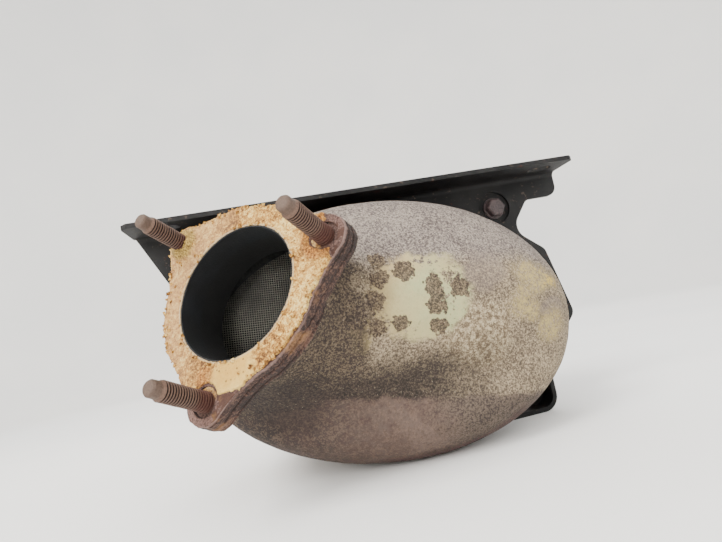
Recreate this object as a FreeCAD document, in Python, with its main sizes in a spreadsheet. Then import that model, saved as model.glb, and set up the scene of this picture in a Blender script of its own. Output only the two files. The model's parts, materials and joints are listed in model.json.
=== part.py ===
"""Catalytic converter with an oval can, a tilted inlet port and a mounting bracket.

The gas flows along +Y. The origin is the centre of the outlet bore, on the face of the
outlet flange. +X runs along the bracket and +Z is up, square to the bracket's top flange.
All sizes are in millimetres and degrees.
"""

import FreeCAD
import Part
import Sketcher

import math
import os

from FreeCAD import Placement, Rotation, Vector

os.makedirs("parts", exist_ok=True)
doc = FreeCAD.newDocument("converter")

# ---------------------------------------------------------------------------------------
# Driving sizes
# ---------------------------------------------------------------------------------------

# A size that follows another one is a formula on the same sheet.
SIZES = [
    # gas ports, the same pipe at both ends
    ("bore_radius", 29.0, "inner radius of both ports"),
    ("port_wall", 2.0, "wall of the necks and of the outlet pipe"),
    ("flange_thickness", 10.0, "both flanges"),
    ("stud_circle", "=2 * (bore_radius + 16)", "pitch circle diameter of the three studs"),
    ("disc_radius", "=stud_circle / 2 - 5", "round middle of a flange"),
    ("ear_radius", 11.5, "rounded ear round each stud"),
    ("ear_blend", 18.0, "hollow radius between ear and disc"),
    ("edge_bevel", 0.8, "broken edge of the flange faces"),
    ("stud_diameter", 8.0, "M8 studs"),
    ("stud_root_radius", 4.3, "tight thread that is screwed into the flange"),
    ("stud_reach", 25.5, "length that stands in front of the inlet face"),
    ("stud_tip_radius", 3.2, "dog point"),
    ("stud_tip_length", 5.0, "dog point with its shoulder"),
    ("stud_pocket_radius", 5.8, "open ring round the root of each stud"),
    ("stud_pocket_depth", 3.0, "depth of that ring below the flange face"),
    ("stud_hole_radius", 4.5, "plain stud holes of the outlet flange"),
    ("gasket_thickness", 1.4, "old gasket left on the inlet flange"),
    ("gasket_inset", 1.0, "gasket edge inside the flange edge"),
    # inlet port, measured from the middle of the can's front rim
    ("inlet_x", "=25.3 - can_half_width", "centre of the inlet bore, to the right"),
    ("inlet_y", -41.6, "along the flow"),
    ("inlet_z", 28.1, "upwards"),
    ("inlet_yaw", 36.9, "port turned to the left of straight ahead"),
    ("inlet_pitch", 23.0, "port tipped upwards"),
    ("inlet_roll", 12.2, "stud pattern turned in its own plane"),
    ("neck_length", 18.0, "inlet face to the end of the cone's round collar"),
    ("neck_recess", 0.4, "pipe end below the inlet face"),
    ("inlet_pipe_end", 25.0, "inlet face to the inner end of the short inlet pipe"),
    # crown of the inlet cone: how far its curves hold their end directions, as shares of their span
    ("crown_neck_share", 0.07, "at the neck"),
    ("crown_rim_share", 0.30, "at the rim"),
    ("valley_neck_share", 0.40, "at the neck, under the valley"),
    ("valley_rim_share", 0.42, "at the rim, on the belly below the valley"),
    ("valley_angle", -65.0, "way the valley lies from the neck, from the right"),
    # pressed folds across the crown: height above the can axis, spread, and lift towards the inlet
    ("ridge_z", 6.0, "ridge to the right of the neck"),
    ("ridge_spread", 16.0, "ridge"),
    ("ridge_lift", 1.0, "ridge"),
    ("valley_z", -27.0, "valley under the ridge"),
    ("valley_spread", 12.0, "valley"),
    ("valley_lift", -3.5, "valley"),
    ("belly_z", -48.0, "belly under the valley"),
    ("belly_spread", 10.0, "belly"),
    ("belly_lift", 2.0, "belly"),
    # oval can and what it holds
    ("can_half_width", 93.9, "outer half-axis, rolled with the can"),
    ("can_half_height", 62.4, "outer half-axis, rolled with the can"),
    ("can_length", 82.0, "between its two rims"),
    ("can_roll", 5.1, "oval turned clockwise, seen from the inlet"),
    ("can_wall", 1.5, "can sheet"),
    ("cone_wall", 2.0, "sheet of both end cones"),
    ("joint_step", 0.05, "step where a cone's curved wall meets its straight ends"),
    ("skirt_length", 16.0, "straight skirt of a cone over the can"),
    ("mat_side", 6.5, "mat thickness at the ends of the oval"),
    ("mat_top", 8.0, "mat thickness above and below"),
    ("brick_inset", 4.0, "brick face behind the can rim, at both ends"),
    ("ring_thickness", 1.5, "sheet ring that closes the mat"),
    ("ring_lip", 1.5, "ring edge that laps over the brick"),
    ("seat_gap", 0.1, "fit between nested shells"),
    ("mat_gap", 0.3, "room round the soft mat"),
    ("weld_leg", 3.0, "leg of the weld beads"),
    ("weld_crown", 0.7, "height of a bead's middle, as a share of its leg"),
    ("weld_gap", 0.05, "room between a bead and the pieces it joins"),
    ("weld_toe", 0.2, "height of a rim bead above the can at its thin end"),
    # outlet end
    ("outlet_cone_length", 34.0, "can rim to the start of the collar"),
    ("collar_length", 8.0, "collar of the outlet cone round the pipe"),
    ("pipe_reach", 18.0, "pipe between the collar and the outlet face"),
    ("outlet_share", 0.3, "how far the outlet cone holds its end directions, as a share of its span"),
    # bracket
    ("sheet", 2.5, "bracket sheet"),
    ("bracket_setback", 34.0, "front of the web behind the can's front rim"),
    ("bracket_left", "=-(can_half_width + 26.1)", "left end"),
    ("bracket_right", "=can_half_width + 37.1", "right end"),
    ("bracket_top", "=can_half_height + 13.3", "top face above the can axis"),
    ("top_width", 25.6, "top flange, forward of the web's front face"),
    ("corner_cut", 3.0, "cut corners of the top flange"),
    ("bend_radius", 3.0, "inner radius of the bends"),
    ("slot_spacing", "=2 * can_half_width + 27.2", "between the two slots"),
    ("slot_offset", 7.5, "middle of the slots from the can axis"),
    ("slot_width", 9.0, "slot"),
    ("slot_length", 14.0, "slot, end to end"),
    ("slot_back", 13.5, "slot line in front of the web's front face"),
    ("left_foot_x", "=5.9 - can_half_width", "lower end of the sloping left edge"),
    ("left_foot_z", 10.0, "lower end of the sloping left edge"),
    ("flag_z", "=can_half_height - 3.4", "underside of the right-hand corner"),
    ("flag_x", "=can_half_width + 15.9", "where that underside meets the hollow"),
    ("hollow_x", "=can_half_width + 2.6", "innermost point of the hollow on the right edge"),
    ("hollow_z", "=can_half_height - 20.4", "innermost point of the hollow on the right edge"),
    ("lobe_top_x", "=can_half_width + 20.6", "side lobe, upper corner"),
    ("lobe_top_z", 27.0, "side lobe, upper corner"),
    ("lobe_x", "=can_half_width + 29.6", "side lobe, tip"),
    ("lobe_z", -14.3, "side lobe, tip"),
    ("lobe_low_x", "=can_half_width + 2.1", "side lobe, lower corner"),
    ("lobe_low_z", -44.0, "side lobe, lower corner"),
    ("rim_x", "=can_half_width - 0.4", "outer face of the lower rim's upright leg"),
    ("rim_end_x", "=can_half_width - 49.9", "left end of the lower rim"),
    ("rim_depth", 12.0, "lower rim, forward of the web's front face"),
    ("rim_corner", 9.0, "outer corner radius of the lower rim"),
    ("drain_x", "=can_half_width - 15.4", "round hole in the lower corner of the web"),
    ("drain_z", "=9.9 - can_half_height", "round hole in the lower corner of the web"),
    ("drain_radius", 5.0, "round hole in the lower corner of the web"),
    ("saddle_gap", 0.3, "web edge round the can"),
    # bracket bolts, M6
    ("bolt_diameter", 6.0, "bolt"),
    ("bolt_flats", 10.0, "across the flats of head and nut"),
    ("head_height", 4.5, "bolt head above its flange"),
    ("head_flange_radius", 6.5, "flange under the head"),
    ("head_flange_thickness", 1.3, "flange under the head"),
    ("nut_height", 5.0, "weld nut"),
    ("bolt_clearance", 0.3, "radial room in the web and the lug"),
    ("bolt_end", 2.0, "bolt end that stands out of its nut"),
    ("thread_gap", 0.05, "radial room in a nut and round a seated stud"),
    ("dish_radius", 10.0, "pressed seat of a bolt in the web"),
    ("dish_depth", 1.8, "pressed seat of a bolt in the web"),
    ("lug_sheet", 3.0, "lug plate and foot"),
    ("lug_radius", 10.0, "rounded end of a lug"),
    ("lug_foot", 18.0, "length of a lug's foot along the can"),
    ("left_bolt_x", "=7.9 - can_half_width", "left bolt"),
    ("upper_bolt_z", "=can_half_height - 5.4", "left and right bolts"),
    ("right_bolt_x", "=can_half_width - 5.9", "right bolt"),
    ("side_bolt_x", "=can_half_width + 14.1", "side bolt"),
    ("side_bolt_z", -6.0, "side bolt"),
]

sheet = doc.addObject("Spreadsheet::Sheet", "Sizes")
for row, (alias, number, note) in enumerate(SIZES, 1):
    sheet.set(f"A{row}", alias)
    sheet.set(f"B{row}", str(number))
    sheet.set(f"C{row}", note)
    sheet.setAlias(f"B{row}", alias)
doc.recompute()


class SheetSizes:
    """The sheet's numbers under their own names, for the parts shaped in code."""

    def __getattr__(self, name):
        return float(sheet.get(name))


S = SheetSizes()


def value(expression):
    """The number that an expression over the sheet gives now."""
    return float(sheet.evalExpression(expression))


# Expressions shared by several parts. Y stations run from the outlet face at 0.
CAN_REAR = "-(Sizes.pipe_reach + Sizes.collar_length + Sizes.outlet_cone_length)"
CAN_FRONT = f"({CAN_REAR} - Sizes.can_length)"
WEB_FRONT = f"({CAN_FRONT} + Sizes.bracket_setback)"
WEB_BACK = f"({WEB_FRONT} + Sizes.sheet)"
CONE_HALF_WIDTH = "(Sizes.can_half_width + Sizes.seat_gap + Sizes.cone_wall)"
CONE_HALF_HEIGHT = "(Sizes.can_half_height + Sizes.seat_gap + Sizes.cone_wall)"
PORT_RADIUS = "(Sizes.bore_radius + Sizes.port_wall)"
COLLAR_RADIUS = f"({PORT_RADIUS} + Sizes.seat_gap + Sizes.cone_wall)"
INLET_BACK = "(Sizes.gasket_thickness + Sizes.flange_thickness)"
BELLY = (
    f"(-sqrt(({CONE_HALF_HEIGHT} * cos(Sizes.can_roll * 1deg)) ^ 2"
    f" + ({CONE_HALF_WIDTH} * sin(Sizes.can_roll * 1deg)) ^ 2))"
)

# ---------------------------------------------------------------------------------------
# Frames
# ---------------------------------------------------------------------------------------


def inlet_axes():
    """Right, up and outward directions of the inlet port, before its own roll."""
    yaw = math.radians(S.inlet_yaw)
    pitch = math.radians(S.inlet_pitch)
    outward = Vector(
        -math.sin(yaw) * math.cos(pitch),
        -math.cos(yaw) * math.cos(pitch),
        math.sin(pitch),
    )
    right = Vector(math.cos(yaw), -math.sin(yaw), 0)
    up = outward.cross(right)
    return right, up, outward


def inlet_centre():
    """Centre of the inlet bore on the outer face of the gasket."""
    return Vector(S.inlet_x, value(CAN_FRONT) + S.inlet_y, S.inlet_z)


def inlet_placement():
    """Frame of the inlet port: z outward, -y through the lower stud."""
    right, up, outward = inlet_axes()
    roll = math.radians(S.inlet_roll)
    local_y = up * math.cos(roll) + right * math.sin(roll)
    local_x = local_y.cross(outward)
    return Placement(inlet_centre(), Rotation(local_x, local_y, outward, "ZXY"))


def outlet_placement():
    """Frame of the outlet port: z along the flow, -y straight down."""
    return Placement(Vector(), Rotation(Vector(-1, 0, 0), Vector(0, 0, 1), Vector(0, 1, 0), "ZXY"))


def can_axes():
    """Right and up directions of the rolled oval."""
    roll = math.radians(S.can_roll)
    right = Vector(math.cos(roll), 0, -math.sin(roll))
    up = Vector(math.sin(roll), 0, math.cos(roll))
    return right, up


def can_placement(station):
    """Frame of the can at a station: z along the flow, x along the oval's long axis."""
    right, up = can_axes()
    return Placement(Vector(0, value(station), 0), Rotation(right * -1, up, Vector(0, 1, 0), "ZXY"))


# ---------------------------------------------------------------------------------------
# Helpers for bodies, sketches and ovals
# ---------------------------------------------------------------------------------------

PARTS = []


def finish(part, label):
    """Names a finished sub-part and lists it for export."""
    part.Label = label
    PARTS.append(part)
    return part


def new_body(label, placement=None):
    body = doc.addObject("PartDesign::Body", label)
    if placement is not None:
        body.Placement = placement
    return finish(body, label)


def origin_feature(body, role):
    return next(item for item in body.Origin.OriginFeatures if item.Role == role)


def new_sketch(body, role, offset="0"):
    """A sketch on an origin plane of the body, moved along that plane's normal."""
    sketch = body.newObject("Sketcher::SketchObject", "Sketch")
    sketch.AttachmentSupport = (origin_feature(body, role), [""])
    sketch.MapMode = "FlatFace"
    sketch.setExpression(".AttachmentOffset.Base.z", offset)
    return sketch


def bind(sketch, constraint, expression):
    index = sketch.addConstraint(constraint)
    sketch.setExpression(f"Constraints[{index}]", expression)


def place_point(sketch, geometry, point, x, y):
    """Ties a point of a sketch to x and y, measured from the sketch's origin."""
    bind(sketch, Sketcher.Constraint("DistanceX", -1, 1, geometry, point, value(x)), x)
    bind(sketch, Sketcher.Constraint("DistanceY", -1, 1, geometry, point, value(y)), y)


def add_circle(sketch, radius, x="0", y="0"):
    centre = Vector(value(x), value(y), 0)
    circle = sketch.addGeometry(Part.Circle(centre, Vector(0, 0, 1), value(radius)))
    bind(sketch, Sketcher.Constraint("Radius", circle, value(radius)), radius)
    place_point(sketch, circle, 3, x, y)


def add_polygon(sketch, corners):
    """A closed outline of straight edges through corners given as expression pairs."""
    points = [Vector(value(x), value(y), 0) for x, y in corners]
    lines = []
    for start, end in zip(points, points[1:] + points[:1]):
        lines.append(sketch.addGeometry(Part.LineSegment(start, end)))
    for line, following in zip(lines, lines[1:] + lines[:1]):
        sketch.addConstraint(Sketcher.Constraint("Coincident", line, 2, following, 1))
    for line, (x, y) in zip(lines, corners):
        place_point(sketch, line, 1, x, y)


def add_slot(sketch, x, y, length, width):
    """A slot with round ends, its length along the sketch's x."""
    reach = value(f"({length} - {width}) / 2")
    half = value(width) / 2
    cx, cy = value(x), value(y)
    upper = sketch.addGeometry(
        Part.LineSegment(Vector(cx - reach, cy + half, 0), Vector(cx + reach, cy + half, 0)))
    lower = sketch.addGeometry(
        Part.LineSegment(Vector(cx + reach, cy - half, 0), Vector(cx - reach, cy - half, 0)))
    right = sketch.addGeometry(Part.ArcOfCircle(
        Part.Circle(Vector(cx + reach, cy, 0), Vector(0, 0, 1), half), -math.pi / 2, math.pi / 2))
    left = sketch.addGeometry(Part.ArcOfCircle(
        Part.Circle(Vector(cx - reach, cy, 0), Vector(0, 0, 1), half), math.pi / 2, 3 * math.pi / 2))
    sketch.addConstraint(Sketcher.Constraint("Tangent", upper, 2, right, 2))
    sketch.addConstraint(Sketcher.Constraint("Tangent", right, 1, lower, 1))
    sketch.addConstraint(Sketcher.Constraint("Tangent", lower, 2, left, 2))
    sketch.addConstraint(Sketcher.Constraint("Tangent", left, 1, upper, 1))
    place_point(sketch, right, 3, f"{x} + ({length} - {width}) / 2", y)
    place_point(sketch, left, 3, f"{x} - ({length} - {width}) / 2", y)
    bind(sketch, Sketcher.Constraint("Radius", right, half), f"{width} / 2")


def pad(body, sketch, length, reverse=False):
    feature = body.newObject("PartDesign::Pad", "Pad")
    feature.Profile = sketch
    feature.setExpression("Length", length)
    feature.Reversed = reverse
    doc.recompute()
    return feature


def pocket(body, sketch, depth=None, reverse=False):
    """Cuts a profile, through everything or to a depth, and checks that it did cut."""
    before = body.Shape.Volume
    feature = body.newObject("PartDesign::Pocket", "Pocket")
    feature.Profile = sketch
    feature.Reversed = reverse
    if depth is None:
        feature.Type = "ThroughAll"
        feature.Midplane = True
    else:
        feature.setExpression("Length", depth)
    doc.recompute()
    if body.Shape.Volume >= before:
        raise RuntimeError(f"{body.Label}: a pocket cut nothing")
    return feature


def polar(body, original, count):
    feature = body.newObject("PartDesign::PolarPattern", "PolarPattern")
    feature.Originals = [original]
    feature.Axis = (origin_feature(body, "Z_Axis"), [""])
    feature.Angle = 360
    feature.Occurrences = count
    body.Tip = feature
    doc.recompute()
    return feature


def dress(body, kind, base, edges, size):
    """A fillet or a chamfer on the edges that a test picks from the base feature."""
    names = [f"Edge{i}" for i, edge in enumerate(base.Shape.Edges, 1) if edges(edge)]
    if not names:
        raise RuntimeError(f"{body.Label}: no edge found for a {kind}")
    feature = body.newObject(f"PartDesign::{kind}", kind)
    feature.Base = (base, names)
    feature.setExpression("Radius" if kind == "Fillet" else "Size", size)
    doc.recompute()
    return feature


def is_upright(edge, axis):
    """True for a straight edge parallel to an axis."""
    if not isinstance(edge.Curve, Part.Line):
        return False
    return abs(edge.Curve.Direction.dot(axis)) > 0.999


def oval_disc(half_width, half_height, length, placement):
    """An oval prism from its frame's plane along its z."""
    oval = doc.addObject("Part::Ellipse", "Oval")
    oval.setExpression("MajorRadius", half_width)
    oval.setExpression("MinorRadius", half_height)
    prism = doc.addObject("Part::Extrusion", "OvalPrism")
    prism.Base = oval
    prism.DirMode = "Custom"
    prism.Dir = Vector(0, 0, 1)
    prism.setExpression("LengthFwd", length)
    prism.Solid = True
    prism.Placement = placement
    return prism


def cut(label, base, tool, listed=True):
    feature = doc.addObject("Part::Cut", label)
    feature.Base = base
    feature.Tool = tool
    return finish(feature, label) if listed else feature


def oval_ring(label, outer, inner, length, station, listed=True):
    """An oval tube between two pairs of half-axes, from a station along the flow."""
    placement = can_placement(station)
    return cut(
        label,
        oval_disc(*outer, length, placement),
        oval_disc(*inner, length, placement),
        listed,
    )


def less(pair, amount):
    """A pair of half-axes drawn in by an amount."""
    return tuple(f"({axis} - {amount})" for axis in pair)


# ---------------------------------------------------------------------------------------
# Inlet and outlet flanges, gasket and studs
# ---------------------------------------------------------------------------------------


def three_eared_plate(label, placement, back, thickness, inset, bore, hole):
    """A disc with three blended ears, a bore and three holes. Ears lie on -y and at 120 degrees."""
    body = new_body(label, placement)
    disc = new_sketch(body, "XY_Plane", back)
    add_circle(disc, f"Sizes.disc_radius - {inset}")
    pad(body, disc, thickness)

    ear = new_sketch(body, "XY_Plane", back)
    add_circle(ear, f"Sizes.ear_radius - {inset}", "0", "-Sizes.stud_circle / 2")
    ears = polar(body, pad(body, ear, thickness), 3)

    def at_waist(edge):
        if not is_upright(edge, Vector(0, 0, 1)):
            return False
        foot = edge.Vertexes[0].Point
        return abs(math.hypot(foot.x, foot.y) - value(f"Sizes.disc_radius - {inset}")) < 0.01

    dress(body, "Fillet", ears, at_waist, f"Sizes.ear_blend + {inset}")

    bore_sketch = new_sketch(body, "XY_Plane", back)
    add_circle(bore_sketch, bore)
    pocket(body, bore_sketch)

    hole_sketch = new_sketch(body, "XY_Plane", back)
    add_circle(hole_sketch, hole, "0", "-Sizes.stud_circle / 2")
    polar(body, pocket(body, hole_sketch), 3)
    return body


def break_edges(body, height):
    """Bevels the outer edges of a flange that lie at one height."""

    def on_rim(edge):
        box = edge.BoundBox
        flat = abs(box.ZMin - height) < 0.01 and abs(box.ZMax - height) < 0.01
        far = min(math.hypot(v.X, v.Y) for v in edge.Vertexes) > S.bore_radius + S.port_wall + 5
        round_hole = isinstance(edge.Curve, Part.Circle) and edge.Closed
        return flat and far and not round_hole

    dress(body, "Chamfer", body.Tip, on_rim, "Sizes.edge_bevel")


def inlet_flange():
    back = f"-{INLET_BACK}"
    body = three_eared_plate(
        "inlet_flange", inlet_placement(), back, "Sizes.flange_thickness", "0",
        f"{PORT_RADIUS} + Sizes.seat_gap", "Sizes.stud_root_radius + Sizes.thread_gap")
    ring = new_sketch(body, "XY_Plane", "-Sizes.gasket_thickness")
    add_circle(ring, "Sizes.stud_pocket_radius", "0", "-Sizes.stud_circle / 2")
    polar(body, pocket(body, ring, "Sizes.stud_pocket_depth"), 3)
    break_edges(body, value(back))


def inlet_gasket():
    three_eared_plate(
        "inlet_gasket", inlet_placement(), "-Sizes.gasket_thickness", "Sizes.gasket_thickness",
        "Sizes.gasket_inset", f"{PORT_RADIUS} + Sizes.seat_gap", "Sizes.stud_pocket_radius")


def outlet_flange():
    body = three_eared_plate(
        "outlet_flange", outlet_placement(), "-Sizes.flange_thickness", "Sizes.flange_thickness", "0",
        f"{PORT_RADIUS} + Sizes.seat_gap", "Sizes.stud_hole_radius")
    break_edges(body, 0.0)
    break_edges(body, -S.flange_thickness)


def stud(label, angle):
    """A stud screwed through the flange, with a shouldered dog point, turned about its axis."""
    turn = Placement(Vector(), Rotation(Vector(0, 0, 1), angle))
    body = new_body(label, inlet_placement() * turn)
    profile = new_sketch(body, "YZ_Plane")
    axis = "-Sizes.stud_circle / 2"
    foot = f"-{INLET_BACK}"
    pocket_floor = "-(Sizes.gasket_thickness + Sizes.stud_pocket_depth)"
    radius = "Sizes.stud_diameter / 2"
    neck = "(Sizes.stud_diameter / 2 - Sizes.stud_tip_radius)"
    add_polygon(profile, [
        (axis, foot),
        (f"{axis} + Sizes.stud_root_radius", foot),
        (f"{axis} + Sizes.stud_root_radius", pocket_floor),
        (f"{axis} + {radius}", pocket_floor),
        (f"{axis} + {radius}", "Sizes.stud_reach - Sizes.stud_tip_length"),
        (f"{axis} + Sizes.stud_tip_radius", f"Sizes.stud_reach - Sizes.stud_tip_length + 2 * {neck}"),
        (f"{axis} + Sizes.stud_tip_radius", f"Sizes.stud_reach - {neck}"),
        (f"{axis} + Sizes.stud_tip_radius - {neck}", "Sizes.stud_reach"),
        (axis, "Sizes.stud_reach"),
    ])
    turned = body.newObject("PartDesign::Revolution", "Turned")
    turned.Profile = profile
    turned.ReferenceAxis = (profile, ["Edge9"])
    turned.Angle = 360
    doc.recompute()


def studs():
    for label, angle in (
        ("inlet_stud_lower", 0),
        ("inlet_stud_upper_right", 120),
        ("inlet_stud_upper_left", 240),
    ):
        stud(label, angle)


# ---------------------------------------------------------------------------------------
# End cones
# ---------------------------------------------------------------------------------------

AROUND = 32
ALONG = 8


class Edge:
    """One end of a cone: an oval, the way the wall passes through it, and the reach of that way.

    right and up carry the half-axes. reach(angle) is a share of the curve's span there.
    """

    def __init__(self, centre, right, up, direction, reach):
        self.centre = centre
        self.right = right
        self.up = up
        self.direction = direction
        self.reach = reach

    def at(self, angle):
        return self.centre + self.right * math.cos(angle) + self.up * math.sin(angle)

    def ring(self, wall, run):
        """A straight tube that carries the wall on along a run.

        It is a hair thinner on both sides, so its end lies within the end of the curved wall.
        """
        ovals = []
        for depth in (S.joint_step, wall - S.joint_step):
            wide = self.right.Length - depth
            tall = self.up.Length - depth
            frame = Placement(self.centre, Rotation(self.right, self.up, self.right.cross(self.up), "ZXY"))
            if math.isclose(wide, tall):
                oval = Part.Circle(Vector(), Vector(0, 0, 1), wide).toShape()
            else:
                oval = Part.Ellipse(Vector(), wide, tall).toShape()
            oval.Placement = frame
            ovals.append(Part.Face(Part.Wire([oval])).extrude(run))
        return ovals[0].cut(ovals[1])


class Cone:
    """A wall that runs in cubic curves from a round neck to an oval rim, with a fold pressed in."""

    def __init__(self, neck, rim, fold=None):
        self.neck = neck
        self.rim = rim
        self.fold = fold

    def point(self, angle, travel):
        start, end = self.neck.at(angle), self.rim.at(angle)
        span = (end - start).Length
        leave = self.neck.direction * (span * self.neck.reach(angle))
        arrive = self.rim.direction * (span * self.rim.reach(angle))
        rest = 1 - travel
        point = (
            start * rest ** 3
            + (start + leave) * (3 * rest ** 2 * travel)
            + (end - arrive) * (3 * rest * travel ** 2)
            + end * travel ** 3
        )
        if self.fold:
            point = point - self.rim.direction * (self.fold(point) * math.sin(math.pi * travel) ** 2)
        return point

    def inward(self, angle, travel):
        """Unit normal of the wall towards its inside."""
        step = 1e-4
        if travel == 0:
            along = self.neck.direction
        elif travel == 1:
            along = self.rim.direction
        else:
            along = self.point(angle, travel + step) - self.point(angle, travel - step)
        around = self.point(angle + step, travel) - self.point(angle - step, travel)
        normal = around.cross(along).normalize()
        facing_neck = self.neck.right.cross(self.neck.up).dot(self.neck.direction) < 0
        return normal if facing_neck else normal * -1

    def section(self, travel, depth):
        """A closed smooth wire round the wall, a depth inside its outer skin."""
        points = []
        for i in range(AROUND):
            angle = 2 * math.pi * i / AROUND
            point = self.point(angle, travel)
            if depth:
                point = point + self.inward(angle, travel) * depth
            points.append(point)
        curve = Part.BSplineCurve()
        curve.interpolate(
            Points=points, PeriodicFlag=True, Parameters=[float(i) for i in range(AROUND + 1)])
        return Part.Wire([curve.toShape()])

    def shell(self, wall, neck_run, rim_run):
        """The wall as a solid, with a straight collar in front of it and a straight skirt behind."""
        stations = [i / ALONG for i in range(ALONG + 1)]
        outer = Part.makeLoft([self.section(t, 0) for t in stations], True)
        inner = Part.makeLoft([self.section(t, wall) for t in stations], True)
        ends = [self.neck.ring(wall, neck_run), self.rim.ring(wall, rim_run)]
        return outer.cut(inner).fuse(ends)


def can_rim(station, direction, reach):
    right, up = can_axes()
    return Edge(
        Vector(0, value(station), 0),
        right * value(CONE_HALF_WIDTH),
        up * value(CONE_HALF_HEIGHT),
        direction,
        reach,
    )


def add_cone(label, cone, neck_run, rim_run):
    part = doc.addObject("Part::Feature", label)
    part.Shape = cone.shell(S.cone_wall, neck_run, rim_run)
    finish(part, label)


def inlet_cone():
    """Crown that turns the tilted round neck into the oval skirt, with a valley above its belly."""

    def reach(plain, valley):
        def at(angle):
            facing = max(math.cos(angle - math.radians(S.valley_angle)), 0) ** 2
            return plain + (valley - plain) * facing
        return at

    def fold(point):
        """Lift towards the inlet: a ridge, a valley under it and a fuller belly."""
        bands = (
            (S.ridge_z, S.ridge_spread, S.ridge_lift),
            (S.valley_z, S.valley_spread, S.valley_lift),
            (S.belly_z, S.belly_spread, S.belly_lift),
        )
        return sum(lift * math.exp(-((point.z - z) / spread) ** 2) for z, spread, lift in bands)

    right, up, outward = inlet_axes()
    radius = value(COLLAR_RADIUS)
    neck = Edge(
        inlet_centre() - outward * S.neck_length,
        right * radius,
        up * radius,
        outward * -1,
        reach(S.crown_neck_share, S.valley_neck_share),
    )
    rim = can_rim(CAN_FRONT, Vector(0, 1, 0), reach(S.crown_rim_share, S.valley_rim_share))
    collar = outward * (S.neck_length - value(INLET_BACK) - S.seat_gap)
    add_cone("inlet_cone", Cone(neck, rim, fold), collar, Vector(0, S.skirt_length, 0))


def outlet_cone():
    """Plain cone from the oval rim back to a round collar on the can's axis."""
    right, up = can_axes()
    radius = value(COLLAR_RADIUS)
    back = Vector(0, -1, 0)
    neck_end = Vector(0, -(S.pipe_reach + S.collar_length), 0)
    neck = Edge(neck_end, right * radius, up * radius, back, lambda angle: S.outlet_share)
    rim = can_rim(CAN_REAR, back, lambda angle: S.outlet_share)
    add_cone("outlet_cone", Cone(neck, rim), Vector(0, S.collar_length, 0), Vector(0, -S.skirt_length, 0))


# ---------------------------------------------------------------------------------------
# Can, brick, mat and rings
# ---------------------------------------------------------------------------------------

CAN_OUTER = ("Sizes.can_half_width", "Sizes.can_half_height")
CAN_INNER = less(CAN_OUTER, "Sizes.can_wall")
BRICK = (
    f"({CAN_INNER[0]} - Sizes.mat_side)",
    f"({CAN_INNER[1]} - Sizes.mat_top)",
)
BRICK_FRONT = f"({CAN_FRONT} + Sizes.brick_inset)"
BRICK_LENGTH = "(Sizes.can_length - 2 * Sizes.brick_inset)"


def can_and_core():
    oval_ring("can_shell", CAN_OUTER, CAN_INNER, "Sizes.can_length", CAN_FRONT)
    brick = oval_disc(*BRICK, BRICK_LENGTH, can_placement(BRICK_FRONT))
    finish(brick, "substrate")
    oval_ring(
        "support_mat", less(CAN_INNER, "Sizes.mat_gap"), less(BRICK, "-Sizes.mat_gap"),
        f"{BRICK_LENGTH} - 2 * Sizes.mat_gap", f"{BRICK_FRONT} + Sizes.mat_gap")
    ring = (less(CAN_INNER, "Sizes.seat_gap"), less(BRICK, "Sizes.ring_lip"))
    oval_ring("front_seal_ring", *ring, "Sizes.ring_thickness", f"{BRICK_FRONT} - Sizes.ring_thickness")
    oval_ring("rear_seal_ring", *ring, "Sizes.ring_thickness", f"{BRICK_FRONT} + {BRICK_LENGTH}")


# ---------------------------------------------------------------------------------------
# Pipes and weld beads
# ---------------------------------------------------------------------------------------


def tube(label, placement, start, length, outer, inner):
    body = new_body(label, placement)
    ring = new_sketch(body, "XY_Plane", start)
    add_circle(ring, outer)
    add_circle(ring, inner)
    pad(body, ring, length)
    return body


def pipes():
    """Short straight pipes that line both flanges and the collars of the cones."""
    tube(
        "inlet_pipe", inlet_placement(), "-Sizes.inlet_pipe_end", "Sizes.inlet_pipe_end - Sizes.neck_recess",
        PORT_RADIUS, "Sizes.bore_radius")
    run = "(Sizes.pipe_reach + Sizes.collar_length)"
    tube("outlet_pipe", outlet_placement(), f"-{run}", run, PORT_RADIUS, "Sizes.bore_radius")


def round_weld(label, placement, foot, toward, radius):
    """A fillet bead in the corner between a tube and a face at one height."""
    body = new_body(label, placement)
    profile = new_sketch(body, "YZ_Plane")
    inner = f"({radius} + Sizes.weld_gap)"
    middle = "Sizes.weld_crown * Sizes.weld_leg"
    add_polygon(profile, [
        (inner, foot),
        (f"{inner} + Sizes.weld_leg", foot),
        (f"{inner} + {middle}", f"{foot} {toward} {middle}"),
        (inner, f"{foot} {toward} Sizes.weld_leg"),
    ])
    bead = body.newObject("PartDesign::Revolution", "Bead")
    bead.Profile = profile
    bead.ReferenceAxis = (origin_feature(body, "Z_Axis"), [""])
    bead.Angle = 360
    doc.recompute()


def round_welds():
    round_weld("inlet_weld", inlet_placement(), f"-{INLET_BACK}", "-", COLLAR_RADIUS)
    round_weld("outlet_weld", outlet_placement(), "-Sizes.flange_thickness", "-", PORT_RADIUS)
    round_weld("collar_weld", outlet_placement(), "-Sizes.pipe_reach", "+", PORT_RADIUS)


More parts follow.
